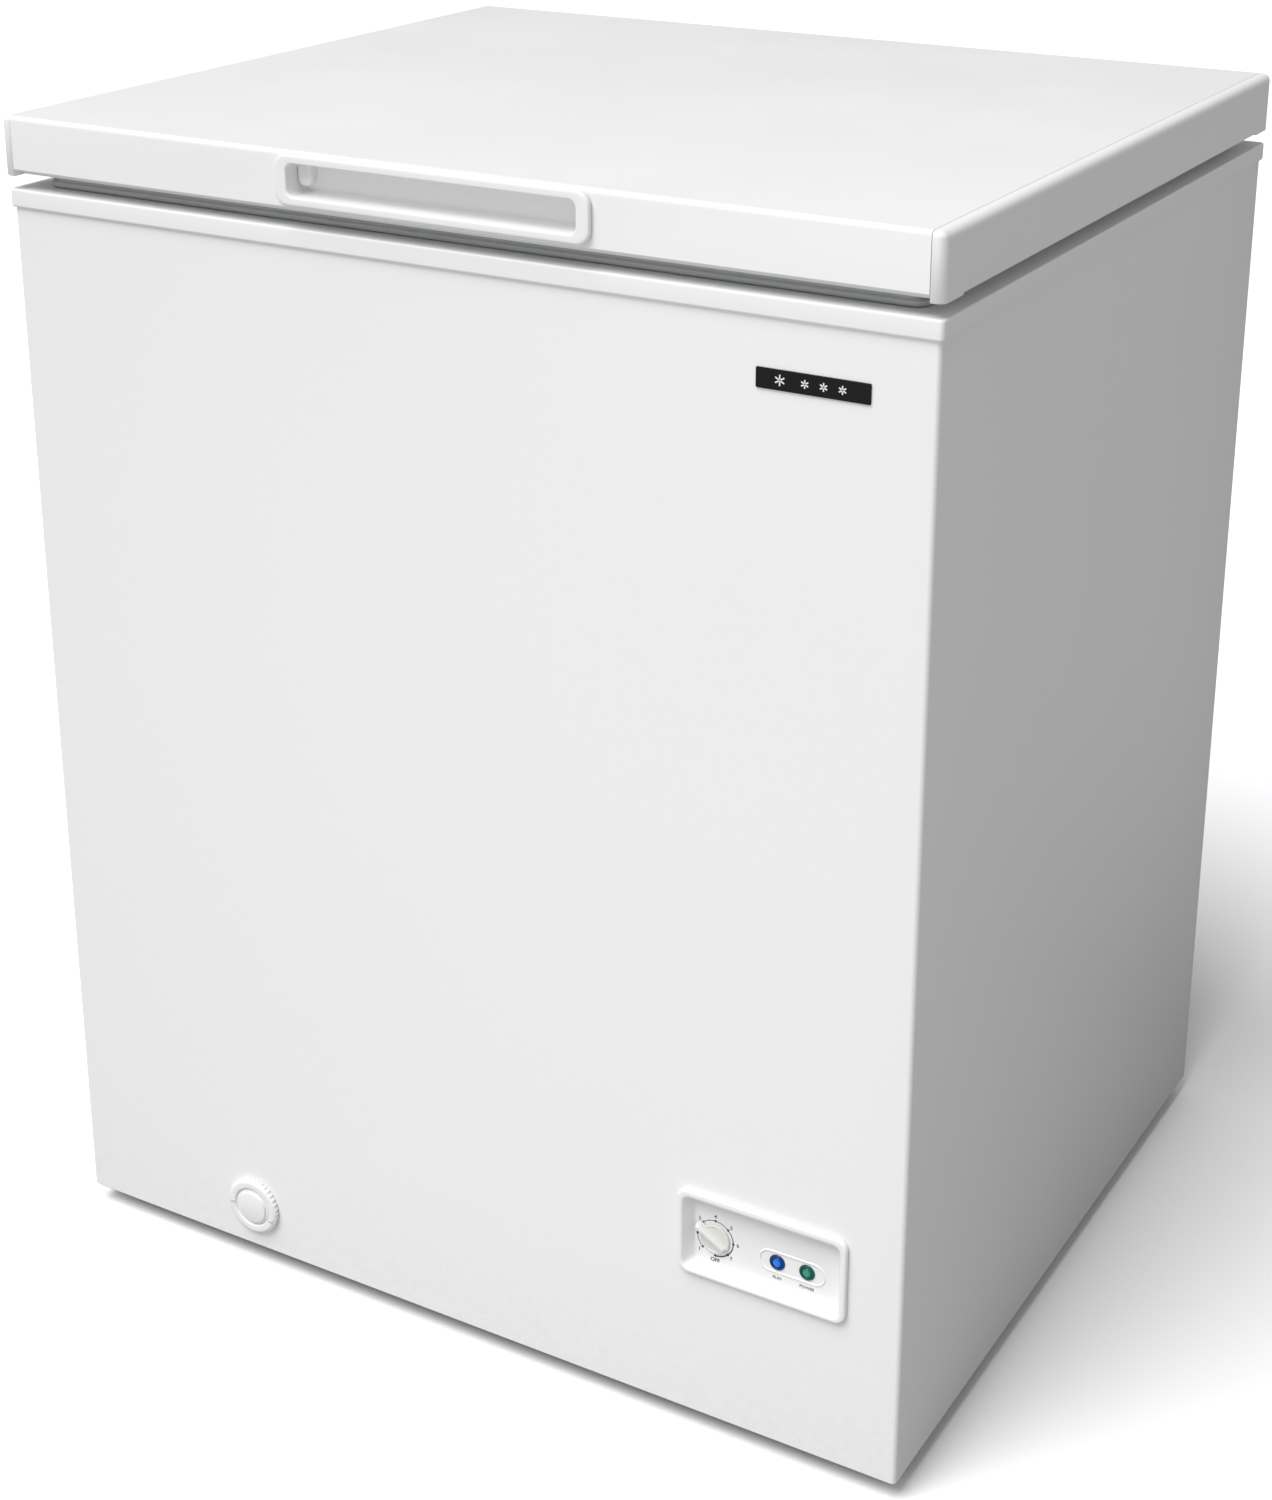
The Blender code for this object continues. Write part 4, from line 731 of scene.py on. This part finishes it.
def make_lid_pull():
    """The moulded pull: a raised soft-edged rim, a finger pocket, and a small boss inside it."""
    low, high, centre = front_box("handle_grip")
    lid_low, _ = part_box("lid_skin")
    width, height = high.x - low.x, high.z - low.z
    face, plane, rear = low.y, lid_low.y, high.y
    open_w, open_h = 211 * MM, 20.3 * MM
    wall = 1.4 * MM

    def ring(w, h, radius, depth):
        return front_ring(centre, w, h, radius, depth, 8)

    stages = [
        (ring(open_w + 2 * wall - 6 * MM, open_h + 2 * wall - 5 * MM, 3 * MM, rear), 0.0),
        (ring(open_w + 2 * wall, open_h + 2 * wall, 5 * MM, rear - 3 * MM), 0.0),
        (ring(open_w + 2 * wall, open_h + 2 * wall, 5.5 * MM, plane - 0.3 * MM), 0.0),
        (ring(width - 0.6 * MM, height - 0.6 * MM, 9 * MM, plane - 0.3 * MM), 0.2),
        (ring(width, height, 9.3 * MM, plane - 0.9 * MM), 0.3),
        (ring(width - 0.5 * MM, height - 0.5 * MM, 9 * MM, face), 2.6),
        (ring(open_w + MM, open_h + MM, 5.5 * MM, face), 1.6),
        (ring(open_w, open_h, 5 * MM, rear - wall), 5),
        (ring(open_w - 14 * MM, open_h - 11 * MM, 2.5 * MM, rear - wall), 0.0),
    ]
    pull = profiled("lid_pull", stages, steps=6, sharp=50)
    boss_w, boss_h = 10 * MM, 15.5 * MM
    aside, above = (open_w - boss_w) / 2 - 0.5 * MM, (open_h - boss_h) / 2 + MM
    boss_centre = (centre[0] - aside, centre[1] + above)

    def boss_ring(inset, rise):
        w, h = boss_w + MM - 2 * inset, boss_h + 2 * MM - 2 * inset
        return front_ring(boss_centre, w, h, 4.6 * MM - inset, rear - wall - rise, 6)

    stages = [
        (boss_ring(0, -0.7 * MM), 0),
        (boss_ring(0, 5 * MM), 1),
        (boss_ring(0.9 * MM, 6.1 * MM), 1),
        (boss_ring(2.6 * MM, 6.5 * MM), 0),
    ]
    boss = profiled("boss", stages, sharp=60)
    stand_in(carve(pull, "UNION", boss), "handle_grip")


def make_lid_inner():
    """Formed inner panel of the lid, with its plug and a pressed field in the middle."""
    low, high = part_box("lid_liner")
    plug_half, plug_front, plug_back = PLUG
    wall, tuck = 2 * MM, 3.5 * MM

    def plug(inset, z, radius):
        return plan_ring(plug_half - inset, plug_front + inset, plug_back - inset, radius, z, 8)

    def flange(z):
        return plan_ring(high.x, low.y + tuck, high.y - tuck, 3 * MM, z, 8)

    under = high.z - 2.2 * MM
    stages = [
        (plug(20 * MM, low.z + wall, 12 * MM), 0.0),
        (plug(wall, low.z + wall, 20 * MM), 8),
        (plug(wall, high.z, 20 * MM), 0.0),
        (flange(high.z), 0.0),
        (flange(under), 0.0),
        (plug(-3 * MM, under, 25 * MM), 0.5),
        (plug(0, under - 3 * MM, 22 * MM), 2),
        (plug(2 * MM, low.z, 20 * MM), 8),
        (plug(34 * MM, low.z, 16 * MM), 2),
        (plug(39 * MM, low.z + 3 * MM, 14 * MM), 2),
        (plug(60 * MM, low.z + 3 * MM, 10 * MM), 0.0),
    ]
    stand_in(profiled("lid_inner", stages), "lid_liner")


def make_gasket():
    """Hollow-looking magnetic seal: a flat foot, two bellows folds and a rounded magnet pocket."""
    low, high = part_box("lid_gasket")
    tall = high.z - low.z
    fold = [
        (0.8, 0.0, 0.6), (0.0, 0.12, 0.8), (0.0, 0.36, 0.8), (2.4, 0.46, 0.5),
        (0.6, 0.6, 0.5), (2.6, 0.74, 0.5), (1.0, 0.88, 0.4), (1.0, 1.0, 0.2),
        (14.0, 1.0, 0.2), (14.0, 0.88, 0.4), (12.4, 0.74, 0.5), (14.4, 0.6, 0.5),
        (12.6, 0.46, 0.5), (15.0, 0.36, 0.8), (15.0, 0.12, 0.8), (14.2, 0.0, 0.6),
    ]  # inset, share of the height, rounding
    stages = []
    for inset, level, rounding in fold:
        plan = (high.x - inset * MM, low.y + inset * MM, high.y - inset * MM)
        stages.append((plan_ring(*plan, 9 * MM, low.z + level * tall), rounding))
    stand_in(profiled("lid_seal", stages, steps=2, closed=True), "lid_gasket")


# ------------------------------ controls and small front pieces


def make_panel():
    low, high, centre = front_box("control_panel")
    width, height = high.x - low.x, high.z - low.z
    wrapper_low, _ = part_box("outer_wrapper")
    plane, face = wrapper_low.y - 0.2 * MM, low.y
    floor = wrapper_low.y + 6 * MM
    rim = 5.5 * MM

    def ring(inset, radius, depth, lift=0.0):
        place = (centre[0], centre[1] + lift)
        return front_ring(place, width - 2 * inset, height - 2 * inset, radius, depth, 8)

    stages = [
        (ring(rim + 2 * MM, 5 * MM, high.y), 0.0),
        (ring(rim, 5 * MM, high.y - 2 * MM), 0.0),
        (ring(rim, 5 * MM, plane), 0.0),
        (ring(0.4 * MM, 8 * MM, plane), 0.2),
        (ring(0, 8 * MM, plane - 0.8 * MM), 0.2),
        (ring(0.3 * MM, 8 * MM, face), 1.8),
        (ring(4.2 * MM, 6 * MM, face, -0.8 * MM), 1.4),
        (ring(rim + 0.5 * MM, 5 * MM, face + 3.2 * MM, -1.4 * MM), 1.2),
        (ring(rim + 3.8 * MM, 4 * MM, floor, -2.2 * MM), 1.6),
        (ring(rim + 9 * MM, 3 * MM, floor, -2.2 * MM), 0.0),
    ]
    stand_in(profiled("panel_bezel", stages, steps=5, sharp=50), "control_panel")
    return floor


KNOB_PIVOT = Vector(next(j for j in frame["joints"] if j["name"] == "knob_turn")["pos_m"])


def make_knob():
    """A thin disc with a wedge-shaped pointer that rises towards its tip."""
    low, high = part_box("thermostat_knob")
    pivot = KNOB_PIVOT
    seat = pivot.y - 0.3 * MM
    face = seat - 1.6 * MM
    radius = high.x - pivot.x
    disc = turned(
        "dial_knob",
        [
            (high.y, 3 * MM),
            (seat, 3 * MM),
            (seat, radius - 0.2 * MM),
            (seat - 0.3 * MM, radius),
            (face + 0.5 * MM, radius),
            (face + 0.15 * MM, radius - 0.25 * MM),
            (face, radius - 0.7 * MM),
            (face, radius - 1.5 * MM),
            (face + 0.4 * MM, radius - 1.9 * MM),
        ],
        "Y",
        (pivot.x, pivot.z),
        72,
    )
    tip, tail, half = POINTER_TIP, radius - 0.3 * MM, 2.7 * MM
    tallest, lowest = face - low.y, 2.2 * MM

    def outline(inset):
        w = half - inset
        foot = arc((0, inset + w - tail), w, 180, 360, 8)
        nose = arc((0, tip - w - inset), w, 20, 160, 6)
        return [*foot, (w, tip - 3 * MM), *nose, (-w, tip - 3 * MM)]

    spin = Matrix.Rotation(math.radians(POINTER_TURN), 4, "Y")
    rings = []
    for share, inset in ((-0.22, 0.0), (0.5, 0.5), (0.9, 1.3), (0.97, 1.6), (1.0, 2.0)):
        ring = []
        for x, along in outline(inset * MM):
            rise = lowest + (tallest - lowest) * (along + tail) / (tip + tail)
            ring.append(spin @ Vector((x, face - pivot.y - share * rise, along)) + pivot)
        rings.append(ring)
    pointer = skin("pointer", rings, sharp=40)
    stand_in(carve(disc, "UNION", pointer), "thermostat_knob")


def dial_place(radius, degrees, depth):
    """A point round the dial; degrees run clockwise from the top, seen from the front."""
    turn = math.radians(degrees)
    x, z = radius * math.sin(turn), radius * math.cos(turn)
    return Vector((KNOB_PIVOT.x + x, depth, KNOB_PIVOT.z + z))


def printed_text(name, words, size, place, node, weight=0.0):
    """Ink standing a hair above the surface, facing the front."""
    curve = bpy.data.curves.new(name, "FONT")
    curve.body, curve.size = words, size
    curve.align_x = curve.align_y = "CENTER"
    curve.extrude, curve.offset = 0.04 * MM, weight
    mesh = mesh_of(curve)
    mesh.transform(Matrix.Translation(place) @ Matrix.Rotation(math.radians(90), 4, "X"))
    return dress(placed(name, mesh), node, "print_ink")


DIAL_WORDS = ("OFF", "1", "2", "3", "4", "5", "6", "7")
DIAL_STOPS = [(words, -180 + 45 * number) for number, words in enumerate(DIAL_WORDS)]


def make_dial_print(floor):
    depth = floor - 0.05 * MM
    bm = bmesh.new()
    for _, degrees in DIAL_STOPS:
        place = dial_place(DIAL_REACH, degrees, depth)
        turn = Matrix.Rotation(math.radians(90), 4, "X")
        bmesh.ops.create_cone(
            bm, cap_ends=True, segments=16, radius1=0.95 * MM, radius2=0.9 * MM, depth=0.1 * MM,
            matrix=Matrix.Translation(place) @ turn,
        )
    dress(object_from(bm, "dial_dots"), "control_panel", "print_ink")
    steps = 72
    rings = []
    for i in range(steps + 1):
        degrees = -135 + 315 * i / steps
        thick = (0.24 + 0.3 * max(0.0, (degrees - 20) / 160)) * MM
        inner = dial_place(DIAL_REACH - thick, degrees, depth)
        outer = dial_place(DIAL_REACH + thick, degrees, depth)
        lift = Vector((0, 0.05 * MM, 0))
        rings.append([inner - lift, outer - lift, outer + lift, inner + lift])
    dress(skin("dial_arc", rings), "control_panel", "print_ink")
    for words, degrees in DIAL_STOPS:
        whole_word = words == "OFF"
        size, weight = (4.0 * MM, 0.1 * MM) if whole_word else (3.8 * MM, 0.06 * MM)
        place = dial_place(DIAL_REACH + 3.4 * MM, degrees, depth)
        printed_text(f"dial_mark_{words}", words, size, place, "control_panel", weight)


def make_lamps(floor):
    """Two lamps, each a round lens with a raised rim and a dome, inside one long raised outline."""
    centres = []
    for colour in ("blue", "green"):
        node = f"lamp_{colour}"
        low, high, centre = front_box(node)
        centres.append(centre)
        radius = (high.x - low.x) / 2
        rim, dome = 0.17 * radius, 0.6 * radius
        profile = [(high.y, radius), (floor - 0.2 * MM, radius)]
        for step in range(1, 9):
            turn = math.radians(180 * step / 8)
            height = floor - 0.2 * MM - 0.9 * MM * math.sin(turn)
            profile.append((height, radius - rim + rim * math.cos(turn)))
        for step in range(8):
            turn = math.radians(90 * step / 7.5)
            profile.append((floor - 0.3 * MM - 1.4 * MM * math.sin(turn), dome * math.cos(turn)))
        stand_in(turned(f"lens_{colour}", profile, "Y", centre, 48, sharp=60), node)
    middle = ((centres[0][0] + centres[1][0]) / 2, centres[0][1])
    apart, height = centres[1][0] - centres[0][0], 16.8 * MM
    width = apart + 27.5 * MM

    rings = []
    bead = ((0, -0.3), (0, 0.0), (0.3, 0.5), (0.8, 0.75), (1.3, 0.5), (1.6, 0.0), (1.6, -0.3))
    for inset, lift in bead:
        w, h = width - 2 * inset * MM, height - 2 * inset * MM
        rings.append(front_ring(middle, w, h, h / 2, floor - lift * MM, 12))
    dress(skin("lamp_surround", rings, closed=True, sharp=60), "control_panel")
    for words, (x, z) in zip(("RUN", "POWER"), centres):
        place = Vector((x, floor - 0.05 * MM, z - 12 * MM))
        printed_text(f"label_{words.lower()}", words, 3.1 * MM, place, "control_panel", 0.03 * MM)


def make_badge():
    """A plain dark plate; it carries no name."""
    low, high, centre = front_box("badge_plate")
    width, height = high.x - low.x, high.z - low.z

    def ring(inset, depth):
        return front_ring(centre, width - 2 * inset, height - 2 * inset, 0.9 * MM, depth, 4)

    stages = [(ring(0, high.y), 0), (ring(0, low.y), 0.3), (ring(MM, low.y), 0)]
    stand_in(profiled("badge", stages), "badge_plate")
    make_star_mark(centre, low.y)


def make_star_mark(centre, face):
    """The common four-star freezer mark in plain bars, where the plate carries its lettering."""
    bm = bmesh.new()
    for place, reach in ((-21, 3.4), (-5, 2.6), (7, 2.6), (19, 2.6)):
        for degrees in (0, 60, 120):
            corner = Vector((reach, 0.06, 0.42)) * MM
            bar = add_box(bm, -corner, corner)
            spin = Matrix.Rotation(math.radians(degrees + 90), 4, "Y")
            shift = Matrix.Translation((centre[0] + place * MM, face - 0.02 * MM, centre[1]))
            bmesh.ops.transform(bm, matrix=shift @ spin, verts=bar)
    dress(object_from(bm, "badge_stars"), "badge_plate", "pale_print")


def make_drain():
    low, high, centre = front_box("drain_cap")
    radius = (high.x - low.x) / 2
    teeth, per_tooth = 36, 6
    count = teeth * per_tooth

    def toothed(depth):
        points = []
        for i in range(count):
            angle = 2 * math.pi * i / count
            dip = 0.5 - 0.5 * math.cos(2 * math.pi * i / per_tooth)
            reach = radius - depth * dip
            x, z = centre[0] + reach * math.cos(angle), centre[1] + reach * math.sin(angle)
            points.append((x, z))
        return points

    hole = 14.8 * MM
    rear, face = high.y, low.y
    stages = [
        (toothed(0.8 * MM), rear, 0.3),
        (toothed(0.8 * MM), face + 1.2 * MM, 0.3),
        (circle(centre, radius - 0.9 * MM, count), face + 0.9 * MM, 0.2),
        (circle(centre, radius - 2.2 * MM, count), face, 0.7),
        (circle(centre, hole + 0.9 * MM, count), face, 0.3),
        (circle(centre, hole, count), face + 1.1 * MM, 0.3),
        (circle(centre, hole, count), rear, 0.0),
    ]
    stages = [(across("Y", outline, depth), rounding) for outline, depth, rounding in stages]
    stand_in(profiled("drain_ring", stages, steps=3, closed=True), "drain_cap")
    for number, (dx, dz) in enumerate(((-17.6, 0.2), (17.2, -6.4)), start=1):
        x, z = centre[0] + dx * MM, centre[1] + dz * MM
        left_end = (x - 1.7 * MM, face - 0.6 * MM, z - 0.5 * MM)
        right_end = (x + 1.7 * MM, face + 0.2 * MM, z + 0.5 * MM)
        mark = block(f"drain_mark_{number}", left_end, right_end, 0.18 * MM, 2)
        # The dashes are finished grey: painted shade, standing in for the shade inside recessed dashes.
        dress(mark, "drain_cap", "grey_rubber")

    spout_low, spout_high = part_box("drain_spout")
    disc = (spout_high.x - spout_low.x) / 2
    front = spout_low.y
    profile = [
        (spout_high.y, 9.5 * MM),
        (rear, 9.5 * MM),
        (rear, disc),
        (front + 1.8 * MM, disc),
        (front + 1.8 * MM, disc - 1.7 * MM),
        (front + 0.7 * MM, disc - 2.0 * MM),
        (front + 0.2 * MM, disc - 2.3 * MM),
        (front, disc - 2.9 * MM),
    ]
    spout = turned("drain_outlet", profile, "Y", centre, 64)
    depths = (spout_high.y + MM, rear + 2 * MM)
    bore = turned("bore", [(depth, 7.5 * MM) for depth in depths], "Y", centre, 40)
    stand_in(carve(spout, "DIFFERENCE", bore), "drain_spout")


# ------------------------------ basket


def rounded_loop(corners, radius, steps=5, closed=True):
    """A route through corner points with each corner rounded."""
    corners = [Vector(corner) for corner in corners]
    points = []
    count = len(corners)
    for i, corner in enumerate(corners):
        if not closed and i in (0, count - 1):
            points.append(corner)
            continue
        before = (corners[i - 1] - corner).normalized() * radius + corner
        after = (corners[(i + 1) % count] - corner).normalized() * radius + corner
        for step in range(steps + 1):
            t = step / steps
            points.append(before.lerp(corner, t).lerp(corner.lerp(after, t), t))
    return points


def make_basket():
    """Round welded wires: four hoops, bent uprights that cross the floor, and hooked hangers."""
    left, right, front, back, bottom, top = BASKET
    hoops, uprights, ribs = 4, 4, 6
    curve = bpy.data.curves.new("wire_basket", "CURVE")
    curve.dimensions = "3D"
    curve.bevel_depth = 1.5 * MM
    curve.bevel_resolution = 3
    curve.use_fill_caps = True

    def wire_through(points, closed=False, thick=1.0):
        spline = curve.splines.new("POLY")
        spline.points.add(len(points) - 1)
        for target, place in zip(spline.points, points):
            target.co = (*place, 1.0)
            target.radius = thick
        spline.use_cyclic_u = closed

    for i in range(hoops):
        z = bottom + (top - bottom) * i / (hoops - 1)
        corners = [(left, front, z), (right, front, z), (right, back, z), (left, back, z)]
        thick = 1.4 if i == hoops - 1 else 1.0
        wire_through(rounded_loop(corners, 14 * MM), closed=True, thick=thick)
    inner = 2.6 * MM
    floor = bottom + inner
    for i in range(uprights):
        x = left + 25 * MM + 50 * MM * i
        near, far = front + inner, back - inner
        corners = [(x, near, top), (x, near, floor), (x, far, floor), (x, far, top)]
        wire_through(rounded_loop(corners, 8 * MM, closed=False), thick=0.9)
    border, lift = 43 * MM, floor + 2.4 * MM
    span = back - front - 2 * border
    for i in range(ribs):
        y = front + border + span * i / (ribs - 1)
        near, far = left + inner, right - inner
        corners = [(near, y, top), (near, y, lift), (far, y, lift), (far, y, top)]
        wire_through(rounded_loop(corners, 8 * MM, closed=False), thick=0.9)
    middle = (left + right) / 2
    near, far = middle - 50 * MM, middle + 50 * MM
    foot, hook = top - 14 * MM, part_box("top_frame")[1].z + 1.8 * MM
    for y, outward in ((front - 3 * MM, -1), (back + 3 * MM, 1)):
        end = y + outward * 20 * MM
        corners = [(near, y, foot), (near, y, hook), (near, end, hook)]
        corners += [(far, end, hook), (far, y, hook), (far, y, foot)]
        wire_through(rounded_loop(corners, 3.5 * MM, closed=False))
    mesh = mesh_of(curve)
    mesh.shade_smooth()
    stand_in(placed("wire_basket", mesh), "basket_wires")
    for end in ("front", "back"):
        node = f"basket_grip_{end}"
        grip_low, grip_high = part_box(node)
        grip = block(f"basket_handle_{end}", grip_low, grip_high, 1.9 * MM, 4)
        stand_in(grip, node)


# ------------------------------ back and underside


def make_grille():
    low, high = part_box("rear_grille")
    grille = block("vent_grille", low, high, 0.6 * MM, 2)
    first_row, pitch, opening = 52 * MM, 16 * MM, 8 * MM
    border, post = 17 * MM, 16 * MM
    width = (high.x - low.x - 2 * border - post) / 2
    slots = []
    for row in range(9):
        z = first_row + row * pitch + opening / 2
        for column in range(2):
            x = low.x + border + column * (width + post) + width / 2
            outline = rounded_rect((x, z), width, opening, 3.9 * MM, 5)
            ends = [across("Y", outline, y) for y in (low.y - MM, high.y + MM)]
            slots.append(skin(f"slot_{row}_{column}", ends))
    stand_in(carve(grille, "DIFFERENCE", *slots), "rear_grille")


def make_hinge_covers():
    frame_low, frame_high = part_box("top_frame")
    wall = 2 * MM
    for side in SIDES:
        node = f"hinge_cover_{side}"
        low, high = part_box(node)
        bm = bmesh.new()
        add_box(bm, low, high)
        outer = [e for e in bm.edges if any(abs(v.co.y - high.y) < MM / 10 for v in e.verts)]
        bevel(bm, outer, 3 * MM, 5)
        obj = object_from(bm, f"hinge_shroud_{side}")
        hollow = block(
            "hollow",
            (low.x + wall, low.y - MM, low.z + wall),
            (high.x - wall, high.y - wall, high.z + MM),
        )
        notch = block(
            "notch",
            (low.x - MM, low.y - MM, frame_low.z + 3 * MM),
            (high.x + MM, frame_high.y + MM, high.z + MM),
        )
        stand_in(carve(obj, "DIFFERENCE", hollow, notch), node)


def screw_head(name, x, face, z, node, radius):
    """A domed cross-head screw on a rear face."""
    profile = [(face - 0.3 * MM, radius), (face + 0.3 * MM, radius)]
    for step in range(1, 6):
        turn = math.radians(80 * step / 5)
        profile.append((face + (0.3 + 1.7 * math.sin(turn)) * MM, radius * math.cos(turn)))
    head = turned(name, profile, "Y", (x, z), 24, sharp=50)
    middle = Vector((x, face + 2.55 * MM, z))
    reaches = [Vector((a, 1.45, b)) * MM for a, b in ((2.2, 0.45), (0.45, 2.2))]
    cross = [block("slot", middle - reach, middle + reach) for reach in reaches]
    dress(carve(head, "DIFFERENCE", *cross), node, "plated_steel")


def make_screws():
    """Screws of the grille, the back panel and each hinge's plate."""
    low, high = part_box("rear_grille")
    inset = 7 * MM
    corners = [
        (x, z) for x in (low.x + inset, high.x - inset) for z in (low.z + inset, high.z - inset)
    ]
    for number, (x, z) in enumerate(corners, start=1):
        screw_head(f"grille_screw_{number}", x, high.y, z, "rear_grille", 3.6 * MM)
    panel_rear, flange_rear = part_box("back_panel")[1].y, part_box("outer_wrapper")[1].y
    edge = 325 * MM
    places = [(-edge, z) for z in (0.1, 0.4, 0.7)] + [(edge, z) for z in (0.4, 0.7)]
    places += [(0.0, z) for z in (0.04, 0.77)]
    for number, (x, z) in enumerate(places, start=1):
        face = flange_rear if x else panel_rear
        screw_head(f"back_screw_{number}", x, face, z, "back_panel", 3.2 * MM)
    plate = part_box("lid_skin")[1].y + 2.3 * MM
    for side in SIDES:
        node = f"hinge_arm_{side}"
        arm_low, arm_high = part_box(node)
        middle = (arm_low.x + arm_high.x) / 2
        for number, (dx, z) in enumerate(((-11, 0.836), (11, 0.836), (0, 0.824)), start=1):
            x = middle + dx * MM
            screw_head(f"hinge_screw_{side}_{number}", x, plate, z, node, 3.0 * MM)


def refine(node, rounding=0.0, sharp=32.0, tuck=None):
    """A smooth-shaded copy of a CAD piece, its flat facets merged and its hard edges eased."""
    bm = bmesh.new()
    bm.from_mesh(frame["nodes"][node].data)
    bmesh.ops.remove_doubles(bm, verts=bm.verts, dist=2e-6)
    if tuck:
        tuck(bm)
    flat, hard = math.radians(0.5), math.radians(50)
    bmesh.ops.dissolve_limit(bm, angle_limit=flat, verts=bm.verts, edges=bm.edges)
    if rounding:
        eased = [e for e in bm.edges if e.is_manifold and e.calc_face_angle() > hard]
        bevel(bm, eased, rounding, 2)
    stand_in(object_from(bm, f"{node}_finish", sharp), node)


def tuck_foam(bm):
    """Draws the lid foam's lower rim up, so that it ends inside the folded skin."""
    low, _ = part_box("lid_skin")
    for vert in bm.verts:
        if abs(vert.co.z - low.z) < MM:
            vert.co.z = low.z + 1.5 * MM


def refine_rest():
    eased = {f"foot_{i}": 0.6 for i in range(1, 5)}
    eased |= {"thermostat_body": 1.0, "relay_cover": 2.0, "compressor_plate": 0.4}
    plain = [
        "back_panel", "base_pan", "cabinet_foam", "evaporator_tube", "condenser_tube",
        "lamp_board", "drain_pipe", "drain_stopper", "compressor", "filter_drier",
        "suction_tube", "discharge_tube", "cord_gland",
        *(f"hinge_{kind}_{side}" for kind in ("bracket", "pin", "arm") for side in SIDES),
        *(f"compressor_grommet_{i}" for i in range(1, 5)),
    ]
    for node, rounding in eased.items():
        refine(node, rounding * MM)
    for node in plain:
        refine(node)
    refine("lid_foam", tuck=tuck_foam)


# ------------------------------ stage


def make_stage():
    bm = bmesh.new()
    bmesh.ops.create_grid(bm, x_segments=1, y_segments=1, size=FLOOR_REACH)
    floor = object_from(bm, "floor")
    tree, shader = start_material("pale_floor")
    path = add(tree, "ShaderNodeLightPath")
    to_object, to_camera = (0.36, 0.36, 0.36), (0.97, 0.97, 0.97)
    tone = mixed(tree, path.outputs["Is Camera Ray"], to_object, to_camera)
    wire(tree, tone, shader.inputs["Base Color"])
    shader.inputs["Roughness"].default_value = 0.9
    shader.inputs["Specular IOR Level"].default_value = 0.1
    floor.data.materials.append(looks["pale_floor"])

    world = bpy.data.worlds.new("studio")
    bpy.context.scene.world = world
    world.use_nodes = True
    tree = world.node_tree
    sky = tree.nodes["Background"]
    backdrop = add(tree, "ShaderNodeBackground")
    for shade_of, strength in ((sky, 0.4), (backdrop, 1.0)):
        shade_of.inputs["Color"].default_value = (1.0, 1.0, 1.0, 1.0)
        shade_of.inputs["Strength"].default_value = strength
    path = add(tree, "ShaderNodeLightPath")
    mix = add(tree, "ShaderNodeMixShader")
    wire(tree, path.outputs["Is Camera Ray"], mix.inputs["Fac"])
    wire(tree, sky.outputs["Background"], mix.inputs[1])
    wire(tree, backdrop.outputs["Background"], mix.inputs[2])
    wire(tree, mix.outputs["Shader"], tree.nodes["World Output"].inputs["Surface"])


def direction(azimuth, elevation):
    """Unit vector out from the middle; azimuth turns from the front towards the right side."""
    turn, lift = math.radians(azimuth), math.radians(elevation)
    level = math.cos(lift)
    return Vector((math.sin(turn) * level, -math.cos(turn) * level, math.sin(lift)))


def facing(along):
    """The turn that points a light's or a camera's own -Z along a direction."""
    return along.to_track_quat("-Z", "Y").to_euler()


def area_light(name, place, target, size, power):
    data = bpy.data.lights.new(name, "AREA")
    data.shape = "RECTANGLE"
    data.size, data.size_y = size
    data.energy = power
    lamp = placed(name, data)
    lamp.location = place
    lamp.rotation_euler = facing(Vector(target) - Vector(place))


def sun(name, azimuth, elevation, spread, strength):
    """A soft sun; its strength is the light that a surface facing it gets."""
    data = bpy.data.lights.new(name, "SUN")
    data.angle = math.radians(spread)
    data.energy = math.pi * strength
    placed(name, data).rotation_euler = facing(-direction(azimuth, elevation))


def make_lights():
    sun("key", -22, 60, 40, 0.98)
    area_light("front", (0.2, -1.35, 0.6), (0.1, -0.3, 0.55), (1.4, 0.3), 2.4)


def make_camera():
    data = bpy.data.cameras.new("camera")
    data.lens = LENS
    data.sensor_width = 36.0
    data.shift_y = RISE
    data.clip_start = 0.05
    data.clip_end = 200.0
    camera = placed("camera", data)
    back = direction(AZIMUTH, ELEVATION)
    camera.location = AIM + back * DISTANCE
    camera.rotation_euler = facing(-back)
    bpy.context.scene.camera = camera


def main():
    make_camera()
    make_stage()
    make_lights()
    make_materials()
    make_cabinet_skin()
    make_mouth_frame()
    make_tub()
    make_lid_shell()
    make_lid_caps()
    make_lid_pull()
    make_lid_inner()
    make_gasket()
    floor = make_panel()
    make_knob()
    make_dial_print(floor)
    make_lamps(floor)
    make_badge()
    make_drain()
    make_basket()
    make_grille()
    make_hinge_covers()
    make_screws()
    refine_rest()
    bpy.context.scene.view_settings.view_transform = "Standard"


main()
